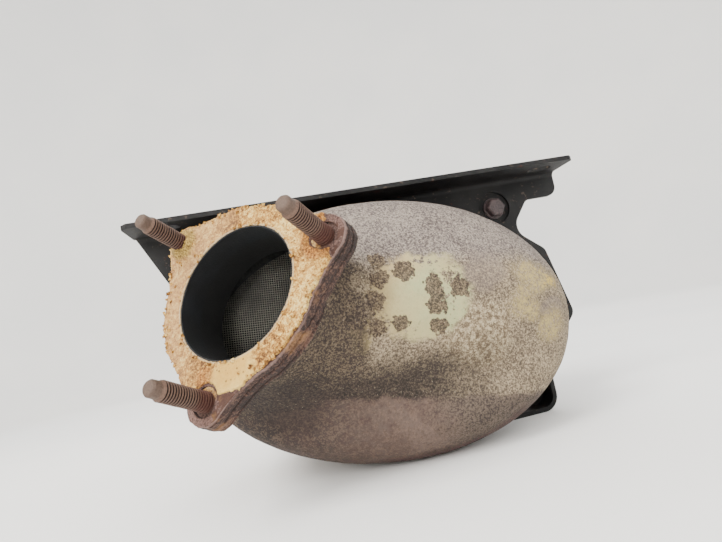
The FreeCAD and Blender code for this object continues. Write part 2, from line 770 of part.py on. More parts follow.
def rim_weld(label, station, direction):
    """An oval bead that fills the step from a cone's skirt down to the can."""
    outer = (CONE_HALF_WIDTH, CONE_HALF_HEIGHT)
    wires = []
    for pair, shift in ((outer, 0.0), (CAN_OUTER, S.weld_leg)):
        wide, tall = value(pair[0]), value(pair[1])
        if shift:
            wide += S.seat_gap + S.weld_toe
            tall += S.seat_gap + S.weld_toe
        oval = Part.Ellipse(Vector(), wide, tall).toShape()
        frame = can_placement(f"{station} + {direction * shift}")
        oval.Placement = frame
        wires.append(Part.Wire([oval]))
    plug = doc.addObject("Part::Feature", "WeldPlug")
    plug.Shape = Part.makeLoft(wires, True, True)
    bore_start = station if direction > 0 else f"{station} - Sizes.weld_leg"
    bore = oval_disc(*less(CAN_OUTER, "-Sizes.weld_gap"), "Sizes.weld_leg", can_placement(bore_start))
    cut(label, plug, bore)


def rim_welds():
    rim_weld("front_rim_weld", f"{CAN_FRONT} + Sizes.skirt_length", 1)
    rim_weld("rear_rim_weld", f"{CAN_REAR} - Sizes.skirt_length", -1)


# ---------------------------------------------------------------------------------------
# Bracket, its lugs, bolts and nuts
# ---------------------------------------------------------------------------------------

BOLTS = {
    "left": ("Sizes.left_bolt_x", "Sizes.upper_bolt_z"),
    "right": ("Sizes.right_bolt_x", "Sizes.upper_bolt_z"),
    "side": ("Sizes.side_bolt_x", "Sizes.side_bolt_z"),
}


def minus(expression):
    return f"-({expression})"


def bracket():
    """Pressed sheet: an upright web round the can, a slotted top flange and a lower rim."""
    body = doc.addObject("PartDesign::Body", "BracketSheet")
    web = new_sketch(body, "XZ_Plane", minus(WEB_BACK))
    add_polygon(web, [
        ("Sizes.bracket_left", "Sizes.bracket_top"),
        ("Sizes.left_foot_x", "Sizes.left_foot_z"),
        ("Sizes.rim_end_x", "Sizes.left_foot_z"),
        ("Sizes.rim_end_x", BELLY),
        ("Sizes.rim_x", BELLY),
        ("Sizes.rim_x", "Sizes.lobe_low_z"),
        ("Sizes.lobe_low_x", "Sizes.lobe_low_z"),
        ("Sizes.lobe_x", "Sizes.lobe_z"),
        ("Sizes.lobe_top_x", "Sizes.lobe_top_z"),
        ("Sizes.hollow_x", "Sizes.hollow_z"),
        ("Sizes.flag_x", "Sizes.flag_z"),
        ("Sizes.bracket_right", "Sizes.flag_z"),
        ("Sizes.bracket_right", "Sizes.bracket_top"),
    ])
    pad(body, web, "Sizes.sheet")
    for x, z in BOLTS.values():
        seat = new_sketch(body, "XZ_Plane", minus(f"({WEB_BACK} + Sizes.dish_depth)"))
        add_circle(seat, "Sizes.dish_radius + Sizes.sheet", x, z)
        pad(body, seat, "Sizes.dish_depth")

    top = new_sketch(body, "XY_Plane", "Sizes.bracket_top")
    front = f"({WEB_FRONT} - Sizes.top_width)"
    add_polygon(top, [
        ("Sizes.bracket_left", WEB_BACK),
        ("Sizes.bracket_left", f"{front} + Sizes.corner_cut"),
        ("Sizes.bracket_left + Sizes.corner_cut", front),
        ("Sizes.bracket_right - Sizes.corner_cut", front),
        ("Sizes.bracket_right", f"{front} + Sizes.corner_cut"),
        ("Sizes.bracket_right", WEB_BACK),
    ])
    pad(body, top, "Sizes.sheet", reverse=True)

    rim = new_sketch(body, "XZ_Plane", minus(WEB_FRONT))
    add_polygon(rim, [
        ("Sizes.rim_x", "Sizes.lobe_low_z"),
        ("Sizes.rim_x", BELLY),
        ("Sizes.rim_end_x", BELLY),
        ("Sizes.rim_end_x", f"{BELLY} + Sizes.sheet"),
        ("Sizes.rim_x - Sizes.sheet", f"{BELLY} + Sizes.sheet"),
        ("Sizes.rim_x - Sizes.sheet", "Sizes.lobe_low_z"),
    ])
    joined = pad(body, rim, "Sizes.rim_depth")

    flow = Vector(0, 1, 0)
    belly = value(BELLY)

    def near(edge, x, z):
        point = edge.Vertexes[0].Point
        return is_upright(edge, flow) and math.hypot(point.x - x, point.z - z) < 0.01

    corner = dress(body, "Fillet", joined, lambda e: near(e, S.rim_x, belly), "Sizes.rim_corner")
    corner = dress(
        body, "Fillet", corner, lambda e: near(e, S.rim_x - S.sheet, belly + S.sheet),
        "Sizes.rim_corner - Sizes.sheet")
    soft_corners = (
        (S.lobe_x, S.lobe_z), (S.lobe_top_x, S.lobe_top_z), (S.flag_x, S.flag_z), (S.bracket_right, S.flag_z))
    corner = dress(
        body, "Fillet", corner, lambda e: any(near(e, x, z) for x, z in soft_corners), "Sizes.bend_radius * 2")
    corner = dress(
        body, "Fillet", corner, lambda e: near(e, S.hollow_x, S.hollow_z), "Sizes.bend_radius * 3")

    def in_bend(edge, y, z):
        centre = edge.BoundBox.Center
        return is_upright(edge, Vector(1, 0, 0)) and math.hypot(centre.y - y, centre.z - z) < 0.01

    back, face = value(WEB_BACK), value(WEB_FRONT)
    corner = dress(
        body, "Fillet", corner, lambda e: in_bend(e, back, S.bracket_top), "Sizes.bend_radius + Sizes.sheet")
    dress(
        body, "Fillet", corner, lambda e: in_bend(e, face, S.bracket_top - S.sheet), "Sizes.bend_radius")

    for x, z in BOLTS.values():
        dish = new_sketch(body, "XZ_Plane", minus(WEB_FRONT))
        add_circle(dish, "Sizes.dish_radius", x, z)
        pocket(body, dish, "Sizes.dish_depth")
    holes = new_sketch(body, "XZ_Plane", minus(WEB_FRONT))
    for x, z in BOLTS.values():
        add_circle(holes, "Sizes.bolt_diameter / 2 + Sizes.bolt_clearance", x, z)
    add_circle(holes, "Sizes.drain_radius", "Sizes.drain_x", "Sizes.drain_z")
    pocket(body, holes, "Sizes.sheet + Sizes.dish_depth")

    slots = new_sketch(body, "XY_Plane", "Sizes.bracket_top")
    for side in ("-", "+"):
        add_slot(
            slots, f"Sizes.slot_offset {side} Sizes.slot_spacing / 2", f"{WEB_FRONT} - Sizes.slot_back",
            "Sizes.slot_length", "Sizes.slot_width")
    pocket(body, slots, "Sizes.sheet")

    saddle = oval_disc(
        *less(CAN_OUTER, "-Sizes.saddle_gap"), "Sizes.can_length", can_placement(CAN_FRONT))
    cut("bracket", body, saddle)


def lug(side, x, z):
    """A tab behind the web, with a foot that follows the can."""
    front = f"({WEB_BACK} + Sizes.dish_depth)"
    # the tab reaches from the bolt to the can axis, where the can's own oval trims it
    along = Rotation(Vector(0, 0, 1), Vector(value(x), 0, value(z)))
    body = doc.addObject("PartDesign::Body", f"LugTab_{side}")
    tab = new_sketch(body, "XZ_Plane", minus(f"({front} + Sizes.lug_sheet)"))
    add_circle(tab, "Sizes.lug_radius", x, z)
    pad(body, tab, "Sizes.lug_sheet")
    strip = doc.addObject("Part::Box", f"LugStrip_{side}")
    strip.setExpression("Length", "2 * Sizes.lug_radius")
    strip.setExpression("Width", "Sizes.lug_sheet")
    strip.setExpression("Height", f"sqrt({x} ^ 2 + {z} ^ 2)")
    strip.Placement = Placement(Vector(0, value(front), 0), along) * Placement(
        Vector(-S.lug_radius, 0, 0), Rotation())
    foot_block = doc.addObject("Part::Box", f"LugFootBlock_{side}")
    foot_block.setExpression("Length", "2 * Sizes.lug_radius")
    foot_block.setExpression("Width", "Sizes.lug_foot")
    foot_block.setExpression("Height", f"sqrt({x} ^ 2 + {z} ^ 2)")
    foot_block.Placement = strip.Placement
    skin = oval_disc(
        *less(CAN_OUTER, "-(Sizes.saddle_gap + Sizes.lug_sheet)"), "Sizes.can_length", can_placement(CAN_FRONT))
    foot = doc.addObject("Part::Common", f"LugFoot_{side}")
    foot.Base = foot_block
    foot.Tool = skin
    joined = doc.addObject("Part::MultiFuse", f"LugBlank_{side}")
    joined.Shapes = [body, strip, foot]
    core = oval_disc(*less(CAN_OUTER, "-Sizes.seat_gap"), "Sizes.can_length", can_placement(CAN_FRONT))
    trimmed = cut(f"LugTrimmed_{side}", joined, core, listed=False)
    hole = doc.addObject("Part::Cylinder", f"LugHole_{side}")
    hole.setExpression("Radius", "Sizes.bolt_diameter / 2 + Sizes.bolt_clearance")
    hole.setExpression("Height", "Sizes.lug_sheet")
    hole.Placement = Placement(Vector(value(x), value(front), value(z)), Rotation(Vector(-1, 0, 0), 90))
    cut(f"bracket_lug_{side}", trimmed, hole)


def hexagon(sketch, flats):
    """A hexagon about the sketch's origin, flats up and down."""
    corner = f"({flats} / sqrt(3))"
    half = f"({flats} / 2)"
    add_polygon(sketch, [
        (corner, "0"),
        (f"{corner} / 2", half),
        (f"-{corner} / 2", half),
        (f"-{corner}", "0"),
        (f"-{corner} / 2", f"-{half}"),
        (f"{corner} / 2", f"-{half}"),
    ])


def bolt_frame(x, z, station):
    """z points forward, out of the bolt head."""
    return Placement(
        Vector(value(x), value(station), value(z)),
        Rotation(Vector(1, 0, 0), Vector(0, 0, 1), Vector(0, -1, 0), "ZXY"))


def bolt(side, x, z):
    """A flanged hexagon bolt whose head seats in the web's dish."""
    body = new_body(f"bracket_bolt_{side}", bolt_frame(x, z, f"{WEB_FRONT} + Sizes.dish_depth"))
    flange = new_sketch(body, "XY_Plane")
    add_circle(flange, "Sizes.head_flange_radius")
    pad(body, flange, "Sizes.head_flange_thickness")
    head = new_sketch(body, "XY_Plane", "Sizes.head_flange_thickness")
    hexagon(head, "Sizes.bolt_flats")
    crown = pad(body, head, "Sizes.head_height")
    top = value("Sizes.head_flange_thickness + Sizes.head_height")

    def on_top(edge):
        return abs(edge.BoundBox.ZMin - top) < 0.01

    dress(body, "Chamfer", crown, on_top, "Sizes.edge_bevel")
    shank = new_sketch(body, "XY_Plane")
    add_circle(shank, "Sizes.bolt_diameter / 2")
    pad(body, shank, "Sizes.sheet + Sizes.lug_sheet + Sizes.nut_height + Sizes.bolt_end", reverse=True)


def nut(side, x, z):
    body = new_body(
        f"bracket_nut_{side}",
        bolt_frame(x, z, f"{WEB_BACK} + Sizes.dish_depth + Sizes.lug_sheet + Sizes.nut_height"))
    outline = new_sketch(body, "XY_Plane")
    hexagon(outline, "Sizes.bolt_flats")
    pad(body, outline, "Sizes.nut_height")
    hole = new_sketch(body, "XY_Plane")
    add_circle(hole, "Sizes.bolt_diameter / 2 + Sizes.thread_gap")
    pocket(body, hole)


def bracket_fixings():
    for side, (x, z) in BOLTS.items():
        lug(side, x, z)
        bolt(side, x, z)
        nut(side, x, z)


# ---------------------------------------------------------------------------------------
# Build, check and write
# ---------------------------------------------------------------------------------------


def check():
    for item in doc.Objects:
        if "Invalid" in item.State or "Error" in item.State:
            raise RuntimeError(f"{item.Label}: {item.State}")
    for part in PARTS:
        if part.Shape.isNull() or not part.Shape.isValid() or not part.Shape.Solids:
            raise RuntimeError(f"{part.Label}: bad shape")


def write():
    for part in PARTS:
        part.Shape.exportStep(f"parts/{part.Label}.step")
        print(f"{part.Label}: {len(part.Shape.Solids)} solid, {part.Shape.Volume / 1000:.2f} cm3")


inlet_flange()
inlet_gasket()
studs()
inlet_cone()
can_and_core()
outlet_cone()
pipes()
outlet_flange()
round_welds()
rim_welds()
bracket()
bracket_fixings()
doc.recompute()
check()
write()
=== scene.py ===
"""Looks of an oval catalytic converter with a tilted inlet port and a black bracket.

Everything is in metres in the part's own frame: the gas flows along +Y, +Z is up, square
to the bracket's top flange, and the origin is the centre of the outlet bore on the face
of the outlet flange.
"""

import functools
import json
import math

import bpy
import numpy as np
from mathutils import Color, Matrix, Vector


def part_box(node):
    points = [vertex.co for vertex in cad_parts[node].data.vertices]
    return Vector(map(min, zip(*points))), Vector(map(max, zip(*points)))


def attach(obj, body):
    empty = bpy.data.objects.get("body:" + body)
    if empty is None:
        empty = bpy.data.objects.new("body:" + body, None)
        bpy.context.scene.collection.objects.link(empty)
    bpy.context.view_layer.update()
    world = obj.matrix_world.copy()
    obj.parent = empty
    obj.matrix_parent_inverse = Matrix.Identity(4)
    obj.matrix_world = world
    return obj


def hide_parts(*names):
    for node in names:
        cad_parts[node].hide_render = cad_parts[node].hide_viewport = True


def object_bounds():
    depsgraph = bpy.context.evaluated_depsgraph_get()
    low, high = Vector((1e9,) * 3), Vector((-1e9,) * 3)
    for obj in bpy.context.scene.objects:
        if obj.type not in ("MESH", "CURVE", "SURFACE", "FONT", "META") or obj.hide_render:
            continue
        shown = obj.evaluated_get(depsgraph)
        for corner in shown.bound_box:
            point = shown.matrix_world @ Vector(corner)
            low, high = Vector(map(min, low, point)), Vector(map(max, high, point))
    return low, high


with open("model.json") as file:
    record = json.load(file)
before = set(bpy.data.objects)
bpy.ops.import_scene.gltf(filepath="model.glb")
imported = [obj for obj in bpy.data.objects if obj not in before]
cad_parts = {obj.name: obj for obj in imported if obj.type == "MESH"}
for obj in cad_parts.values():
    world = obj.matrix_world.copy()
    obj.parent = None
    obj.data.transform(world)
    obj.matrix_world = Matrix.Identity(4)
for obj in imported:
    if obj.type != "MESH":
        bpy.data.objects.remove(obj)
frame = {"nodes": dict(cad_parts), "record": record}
cad_low, cad_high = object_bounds()
nodes = frame["nodes"]

MM = 0.001
TURN = 2 * math.pi

# ---------------------------------------------------------------------------------------
# Camera, floor and light
# ---------------------------------------------------------------------------------------

CAMERA_PLACE = (-0.056, -0.400, 0.004)
CAMERA_HEADING = math.radians(-10.69)
CAMERA_RISE = math.radians(5.76)
CAMERA_ROLL = math.radians(-11.61)

camera_data = bpy.data.cameras.new("camera")
camera_data.sensor_width = 36.0
camera_data.lens = 25.93
camera_data.clip_start = 0.01
camera = bpy.data.objects.new("camera", camera_data)
bpy.context.scene.collection.objects.link(camera)
camera.matrix_world = (
    Matrix.Translation(CAMERA_PLACE)
    @ Matrix.Rotation(CAMERA_HEADING, 4, "Z")
    @ Matrix.Rotation(math.pi / 2 + CAMERA_RISE, 4, "X")
    @ Matrix.Rotation(CAMERA_ROLL, 4, "Z"))
bpy.context.scene.camera = camera


def mesh_object(name, points, faces, smooth=True):
    """An object at the origin whose mesh holds the points and faces given."""
    mesh = bpy.data.meshes.new(name)
    mesh.from_pydata(np.asarray(points).tolist(), [], np.asarray(faces).tolist())
    mesh.polygons.foreach_set("use_smooth", np.full(len(mesh.polygons), smooth))
    mesh.update()
    item = bpy.data.objects.new(name, mesh)
    bpy.context.scene.collection.objects.link(item)
    return item


def grid_faces(rows, columns, close_rows=False, close_columns=False):
    """Quads between neighbours of a rows x columns grid; a closed side joins its last line to its first."""
    i = np.arange(rows if close_rows else rows - 1)
    j = np.arange(columns if close_columns else columns - 1)
    i, j = (side.ravel() for side in np.meshgrid(i, j, indexing="ij"))
    up, across = (i + 1) % rows, (j + 1) % columns
    return np.stack([i * columns + j, i * columns + across, up * columns + across, up * columns + j], 1)


def sweep(radius, bend, height):
    """Floor that rises into a round wall: a flat disc, a quarter circle and a straight wall.

    The profile (r, z) is turned about the part's middle.
    """
    middle = (cad_low + cad_high) / 2
    arc = np.linspace(0, math.pi / 2, 13)
    r = np.concatenate([[1e-4, radius * 0.5], radius + bend * np.sin(arc), [radius + bend]])
    z = np.concatenate([[0, 0], bend * (1 - np.cos(arc)), [height]])
    angle = np.linspace(0, TURN, 96, endpoint=False)
    x = middle.x + np.outer(r, np.cos(angle))
    y = middle.y + np.outer(r, np.sin(angle))
    up = cad_low.z + np.repeat(z[:, None], len(angle), 1)
    points = np.stack([x, y, up], -1).reshape(-1, 3)
    return mesh_object("floor", points, grid_faces(len(r), len(angle), close_columns=True))


def area_light(name, place, size, power, colour):
    """A round lamp that faces the middle of the part; its power is in watts."""
    data = bpy.data.lights.new(name, "AREA")
    data.shape = "DISK"
    data.size = size
    data.energy = power
    data.color = colour
    item = bpy.data.objects.new(name, data)
    bpy.context.scene.collection.objects.link(item)
    away = Vector(place) - Vector((0.0, -0.11, 0.0))
    item.matrix_world = Matrix.Translation(place) @ away.to_track_quat("Z", "Y").to_matrix().to_4x4()


floor = sweep(radius=1.3, bend=0.5, height=1.9)

area_light("key", (-0.75, -0.75, 1.05), size=0.7, power=26.0, colour=(1.0, 0.98, 0.94))
area_light("fill", (0.95, -0.60, 0.55), size=0.9, power=5.0, colour=(0.95, 0.97, 1.0))
area_light("front", (-0.45, -0.85, 0.35), size=0.4, power=6.0, colour=(1.0, 0.98, 0.95))
area_light("back", (0.2, 0.95, 0.85), size=0.9, power=8.0, colour=(1.0, 1.0, 1.0))

world = bpy.data.worlds.new("studio")
world.use_nodes = True
world.node_tree.nodes["Background"].inputs["Color"].default_value = (1.0, 0.99, 0.97, 1.0)
world.node_tree.nodes["Background"].inputs["Strength"].default_value = 1.25
bpy.context.scene.world = world

# ---------------------------------------------------------------------------------------
# Node materials
# ---------------------------------------------------------------------------------------


class Value:
    """A number that varies over a surface. Arithmetic on it adds Math nodes."""

    def __init__(self, finish, socket):
        self.finish = finish
        self.socket = socket

    def maths(self, operation, first, second):
        return self.finish.value("ShaderNodeMath", {"operation": operation}, {0: first, 1: second})

    def __add__(self, other):
        return self.maths("ADD", self, other)

    def __sub__(self, other):
        return self.maths("SUBTRACT", self, other)

    def __rsub__(self, other):
        return self.maths("SUBTRACT", other, self)

    def __mul__(self, other):
        return self.maths("MULTIPLY", self, other)

    def largest(self, other):
        return self.maths("MAXIMUM", self, other)

    __radd__ = __add__
    __rmul__ = __mul__


class Finish:
    """One surface finish: a Principled shader with the nodes that feed it."""

    def __init__(self, name, **constants):
        self.material = bpy.data.materials.new(name)
        self.material.use_nodes = True
        self.tree = self.material.node_tree
        self.shader = self.tree.nodes["Principled BSDF"]
        for socket, number in constants.items():
            self.shader.inputs[socket.replace("_", " ")].default_value = number
        self.place = self.node("ShaderNodeTexCoord").outputs["Object"]

    def node(self, kind, settings=None, sockets=None):
        """Adds a node: its settings, a ramp's stops among them, then the values or links of its sockets."""
        node = self.tree.nodes.new(kind)
        for name, setting in (settings or {}).items():
            if name == "stops":
                ramp = node.color_ramp
                while len(ramp.elements) < len(setting):
                    ramp.elements.new(0.5)
                for element, (position, colour) in zip(ramp.elements, setting):
                    element.position = position
                    element.color = (*colour, 1.0)
            else:
                setattr(node, name, setting)
        for name, item in (sockets or {}).items():
            self.feed(node.inputs[name], item)
        return node

    def feed(self, socket, item):
        """Links a socket to a varying value, or sets it to a plain one."""
        if isinstance(item, Value):
            item = item.socket
        if isinstance(item, bpy.types.NodeSocket):
            self.tree.links.new(item, socket)
        elif socket.type == "RGBA" and len(item) == 3:
            socket.default_value = (*item, 1.0)
        else:
            socket.default_value = item

    def value(self, kind, settings=None, sockets=None, output=0):
        return Value(self, self.node(kind, settings, sockets).outputs[output])

    def noise(self, scale, detail=2.0, roughness=0.5):
        """Cloudy pattern with a number of features per metre."""
        return self.value("ShaderNodeTexNoise", None, {
            "Vector": self.place, "Scale": scale, "Detail": detail, "Roughness": roughness})

    def cells(self, scale):
        """Distance to the nearest of scattered points, a number of them per metre."""
        return self.value("ShaderNodeTexVoronoi", None, {
            "Vector": self.place, "Scale": scale}, "Distance")

    def axis(self, name, at=None):
        """One coordinate of the place, or of a shaken place."""
        return self.value("ShaderNodeSeparateXYZ", None, {0: at or self.place}, name)

    def between(self, value, low, high):
        """0 below low, 1 above high and smooth between; low may be the larger."""
        return self.value("ShaderNodeMapRange", {"interpolation_type": "SMOOTHSTEP"}, {
            "Value": value, "From Min": low, "From Max": high})

    def shaken(self, reach, scale, detail=2.0):
        """The place, moved about by up to half the reach, so that an edge drawn with it comes out ragged."""
        cloud = self.node("ShaderNodeTexNoise", None, {
            "Vector": self.place, "Scale": scale, "Detail": detail}).outputs["Color"]
        shift = self.node("ShaderNodeVectorMath", {"operation": "SUBTRACT"}, {
            0: cloud, 1: (0.5, 0.5, 0.5)}).outputs[0]
        return self.node("ShaderNodeVectorMath", {"operation": "MULTIPLY_ADD"}, {
            0: shift, 1: (reach, reach, reach), 2: self.place}).outputs[0]

    def spot(self, centre, radii, at):
        """1 at a centre, falling to 0 on an ellipsoid of the radii given."""
        shifted = self.node("ShaderNodeVectorMath", {"operation": "SUBTRACT"}, {
            0: at, 1: centre}).outputs[0]
        scaled = self.node("ShaderNodeVectorMath", {"operation": "DIVIDE"}, {
            0: shifted, 1: radii}).outputs[0]
        length = self.value("ShaderNodeVectorMath", {"operation": "LENGTH"}, {0: scaled}, "Value")
        return self.between(length, 1.0, 0.0)

    def oval(self, x, z, across, high, at):
        """A spot that reaches right through the part along Y; its centre and radii are in millimetres."""
        return self.spot((x * MM, 0, z * MM), (across * MM, 1, high * MM), at)

    def patch(self, x, z, across, high, at, edge):
        """1 well inside an oval and 0 outside; its edge lies between two levels of the spot."""
        return self.between(self.oval(x, z, across, high, at), *edge)

    def either(self, *values):
        """The largest of several values, the first of which varies."""
        return functools.reduce(Value.largest, values)

    def attribute(self, name):
        """A number that mark() has stored at the piece's points."""
        return self.value("ShaderNodeAttribute", {"attribute_name": name}, None, "Fac")

    def mix(self, factor, first, second):
        """The first colour at factor 0, the second at 1."""
        return self.node("ShaderNodeMix", {"data_type": "RGBA"}, {
            "Factor": factor, 6: first, 7: second}).outputs[2]

    def tones(self, value, stops):
        """A ramp through (position, colour) stops."""
        return self.node("ShaderNodeValToRGB", {"stops": stops}, {0: value}).outputs[0]

    def bump(self, height, distance, strength):
        """A normal tilted by a relief whose height of 1 stands for the distance."""
        return self.node("ShaderNodeBump", None, {
            "Height": height, "Distance": distance, "Strength": strength}).outputs[0]

    def coat(self, **sockets):
        """Feeds the shader's own sockets, named with underscores for spaces."""
        for name, item in sockets.items():
            self.feed(self.shader.inputs[name.replace("_", " ")], item)
        return self.material


VIVID = 1.30
CONTRAST = 1.3
DIMMED = 0.63


def tone(red, green, blue):
    """Reflectance that looks like the colour of these usual 0 to 255 numbers once this studio lights it.

    The bright light pales what it falls on, so the reflectance is more vivid, contrasty and dim.
    """
    light = np.array(Color((red / 255, green / 255, blue / 255)).from_srgb_to_scene_linear())
    vivid = np.clip(light.mean() + (light - light.mean()) * VIVID, 0.0005, 1)
    return tuple((DIMMED * vivid ** CONTRAST).tolist())


def dress(material, *names):
    """Puts a material on the CAD nodes of those names."""
    for name in names:
        for slot in nodes[name].material_slots:
            slot.material = material


def floor_finish():
    """Off-white studio card with faint clouds."""
    f = Finish("pale_floor")
    cloud = f.noise(3.0, 3.0)
    colour = f.mix(f.between(cloud, 0.3, 0.7), (0.88, 0.88, 0.87), (0.93, 0.92, 0.90))
    return f.coat(Base_Color=colour, Roughness=0.75, Normal=f.bump(f.noise(900.0), 0.0002, 0.3))


# Flakes of dark scale on the pale patch of the crown: place along X and Z, and radii, in millimetres.
# A flake's edge lies partway up its spot, so the spot reaches further than the flake.
FLAKES = (
    (3.7, 23.5, 5.4, 5.0), (-6.5, 29.6, 4.2, 4.0), (-7.6, 21.4, 4.6, 4.2), (16.0, 12.6, 4.2, 8.0),
    (15.4, 5.6, 4.6, 4.4), (28.3, 11.9, 5.4, 5.0), (-11.9, 12.5, 4.6, 5.4), (-21.1, 6.6, 5.0, 4.6),
    (-2.3, 1.6, 4.4, 3.8), (-12.6, 1.6, 4.2, 4.4), (14.6, -3.4, 4.4, 3.6))
FLAKE_REACH = 1.7


def crown_finish():
    """Heat-tinted sheet: speckled scale, a smooth pale patch with dark flakes and a pink belly, with painted
    shade round and under the neck, in the valley and over the belly, and painted glints.

    Each stretch below lays one kind of scale, painted shade or painted glint over those before it. Edges
    follow places that noise has shaken, so none is straight.
    """
    f = Finish("crown_scale_and_shade")
    x = f.axis("X")
    grit = f.noise(1350.0, 2.0, 0.65)
    speck = f.noise(760.0, 2.0, 0.7)
    fleck = f.noise(430.0, 3.0, 0.7)
    cloud = f.noise(70.0, 3.0, 0.6)
    broad = f.noise(24.0, 2.0, 0.5)
    mottle = f.between(grit * 0.50 + speck * 0.35 + cloud * 0.15, 0.39, 0.61)
    wide = f.shaken(0.020, 60.0, 4.0)
    torn = f.shaken(0.014, 140.0, 5.0)
    fine = f.shaken(0.0065, 330.0, 3.0)
    ragged_z, ragged_x = f.axis("Z", wide), f.axis("X", wide)

    # Speckled scale, mauve on top and to the right.
    colour = f.tones(mottle, [
        (0.0, tone(104, 94, 84)), (0.5, tone(152, 140, 124)), (1.0, tone(196, 184, 164))])
    mauve = f.tones(mottle, [
        (0.0, tone(106, 98, 94)), (0.5, tone(154, 145, 140)), (1.0, tone(190, 182, 172))])
    top = f.between(ragged_z + x * 0.12, 0.020, 0.034)
    colour = f.mix(top, colour, mauve)
    smooth_mauve = f.either(
        f.patch(43, 17, 16, 15, wide, (0.15, 0.5)), f.patch(76, -6, 12, 7, wide, (0.15, 0.5)))
    colour = f.mix(smooth_mauve * 0.4, colour, f.mix(speck, tone(142, 131, 126), tone(170, 159, 152)))

    # Coarse tan scale below the pale patch.
    tan = f.patch(33, -9, 30, 22, wide, (0.10, 0.40))
    coarse = f.tones(f.between(fleck * 0.6 + grit * 0.4, 0.40, 0.60), [
        (0.0, tone(118, 104, 88)), (0.6, tone(176, 163, 142)), (1.0, tone(214, 204, 182))])
    colour = f.mix(tan * 0.75, colour, coarse)

    # The pale patch: broken towards its edge, whole at its core, and browner towards the neck.
    pale = f.either(
        f.patch(9, 11, 37, 29, torn, (0.16, 0.34)), f.patch(-20, 1, 9, 13, wide, (0.25, 0.45)))
    pale = pale * f.between(fleck * 0.7 + cloud * 0.6, 0.52, 0.60)
    core = f.patch(3, 11, 22, 20, torn, (0.20, 0.36)) * f.between(fleck, 0.62, 0.56)
    cream = f.mix(f.between(broad, 0.4, 0.6), tone(222, 206, 170), tone(206, 210, 176))
    cream = f.mix(f.between(ragged_x, 0.002, -0.012) * 0.75, cream, tone(178, 162, 130))
    cream = f.mix(f.between(speck * 0.5 + cloud * 0.5, 0.46, 0.62) * 0.5, cream, tone(222, 210, 176))
    colour = f.mix(f.either(pale * 0.9, core), colour, f.mix(grit * 0.35, cream, tone(166, 154, 124)))

    # Flakes of dark scale that are left on it.
    flakes = f.either(*(
        f.oval(place_x, place_z, across * FLAKE_REACH, high * FLAKE_REACH, fine)
        for place_x, place_z, across, high in FLAKES))
    flakes = f.between(flakes - f.cells(520.0) * 0.30 + cloud * 0.30, 0.33, 0.40)
    brown = f.tones(f.between(grit * 0.6 + speck * 0.4, 0.38, 0.62), [
        (0.0, tone(66, 54, 46)), (0.5, tone(106, 94, 82)), (1.0, tone(158, 144, 124))])
    colour = f.mix(flakes * 0.95, colour, brown)

    # Yellowed scale at the far end.
    yellow = f.either(
        f.patch(70, 10, 22, 13, wide, (0.10, 0.70)), f.patch(62, -2, 16, 12, wide, (0.10, 0.80)),
        f.patch(74, -15, 18, 13, wide, (0.10, 0.80)))
    gold = f.mix(f.patch(79, 8, 7, 6, wide, (0.1, 0.6)), tone(200, 186, 146), tone(236, 214, 140))
    colour = f.mix(yellow * f.between(speck * 0.6 + fleck * 0.4, 0.62, 0.40), colour, gold)

    # Painted shade round the neck, in dark tones of the speckle.
    near_neck = f.spot((-0.050, -0.165, 0.012), (0.060, 0.060, 0.060), wide)
    around_neck = f.between(ragged_x, -0.013, -0.021) * f.between(near_neck, 0.06, 0.18)
    shade = f.tones(mottle, [(0.0, tone(50, 41, 36)), (0.5, tone(86, 75, 66)), (1.0, tone(132, 119, 104))])
    colour = f.mix(around_neck * 0.93, colour, shade)

    # Painted shade in the valley, and under it the smooth belly with its speckled far end, dimmed by painted
    # shade.
    valley = f.between(ragged_z, -0.008, -0.022) * f.between(ragged_x, 0.060, -0.002)
    dark = f.tones(mottle, [(0.0, tone(38, 31, 28)), (0.5, tone(64, 54, 48)), (1.0, tone(104, 92, 82))])
    colour = f.mix(valley * 0.95, colour, dark)
    slope = f.axis("Z", torn) * 0.6 + ragged_z * 0.4 + f.either(x, -0.030) * 0.20
    belly = f.between(slope, -0.0315, -0.0345)
    # Painted shade over the belly: its pinkish-brown tones are dark, and darkest towards the left.
    across = f.between(x + cloud * 0.03, -0.055, 0.020)
    skin = f.mix(across, tone(58, 50, 47), tone(130, 116, 109))
    skin = f.mix(f.between(cloud, 0.42, 0.60) * 0.50, skin, tone(92, 74, 68))
    skin = f.mix(f.between(fleck * 0.5 + grit * 0.5, 0.46, 0.60) * 0.40, skin, tone(158, 140, 126))
    skin = f.mix(f.between(speck, 0.50, 0.36) * 0.35, skin, tone(76, 58, 52))
    speckled = f.between(x + cloud * 0.03, 0.014, 0.042)
    skin = f.mix(speckled, skin, f.mix(mottle, tone(66, 57, 52), tone(136, 124, 114)))
    colour = f.mix(belly, colour, skin)

    # Painted shadow under the neck, and darker red along the lower rim.
    under_neck = f.spot((-0.056, -0.165, -0.022), (0.034, 0.034, 0.026), wide)
    neck_shadow = f.mix(mottle, tone(40, 32, 30), tone(84, 72, 66))
    colour = f.mix(f.between(under_neck, 0.1, 0.6) * 0.6, colour, neck_shadow)
    rim_red = f.between(ragged_z - x * 0.12, -0.055, -0.062)
    colour = f.mix(rim_red * 0.8, colour, f.mix(mottle, tone(54, 34, 30), tone(112, 84, 76)))

    # Painted glints: bright grains everywhere but on the shaded belly. Painted shade: a black inner skin.
    painted_glint = f.between(f.cells(900.0), 0.13, 0.07) * f.between(speck, 0.45, 0.6) * (1 - belly)
    colour = f.mix(painted_glint * 0.8, colour, tone(236, 228, 212))
    colour = f.mix(f.attribute("inside"), colour, (0.0025, 0.0025, 0.003))
    relief = grit * 0.5 + speck * 0.5 + flakes * 0.6 + fleck * 0.4
    calm = f.either(core, belly * 0.6) * 0.7
    return f.coat(
        Base_Color=colour, Roughness=f.between(calm, 1.6, 0.2) * 0.25 + 0.62,
        Normal=f.bump(relief, 0.0007, 0.75))


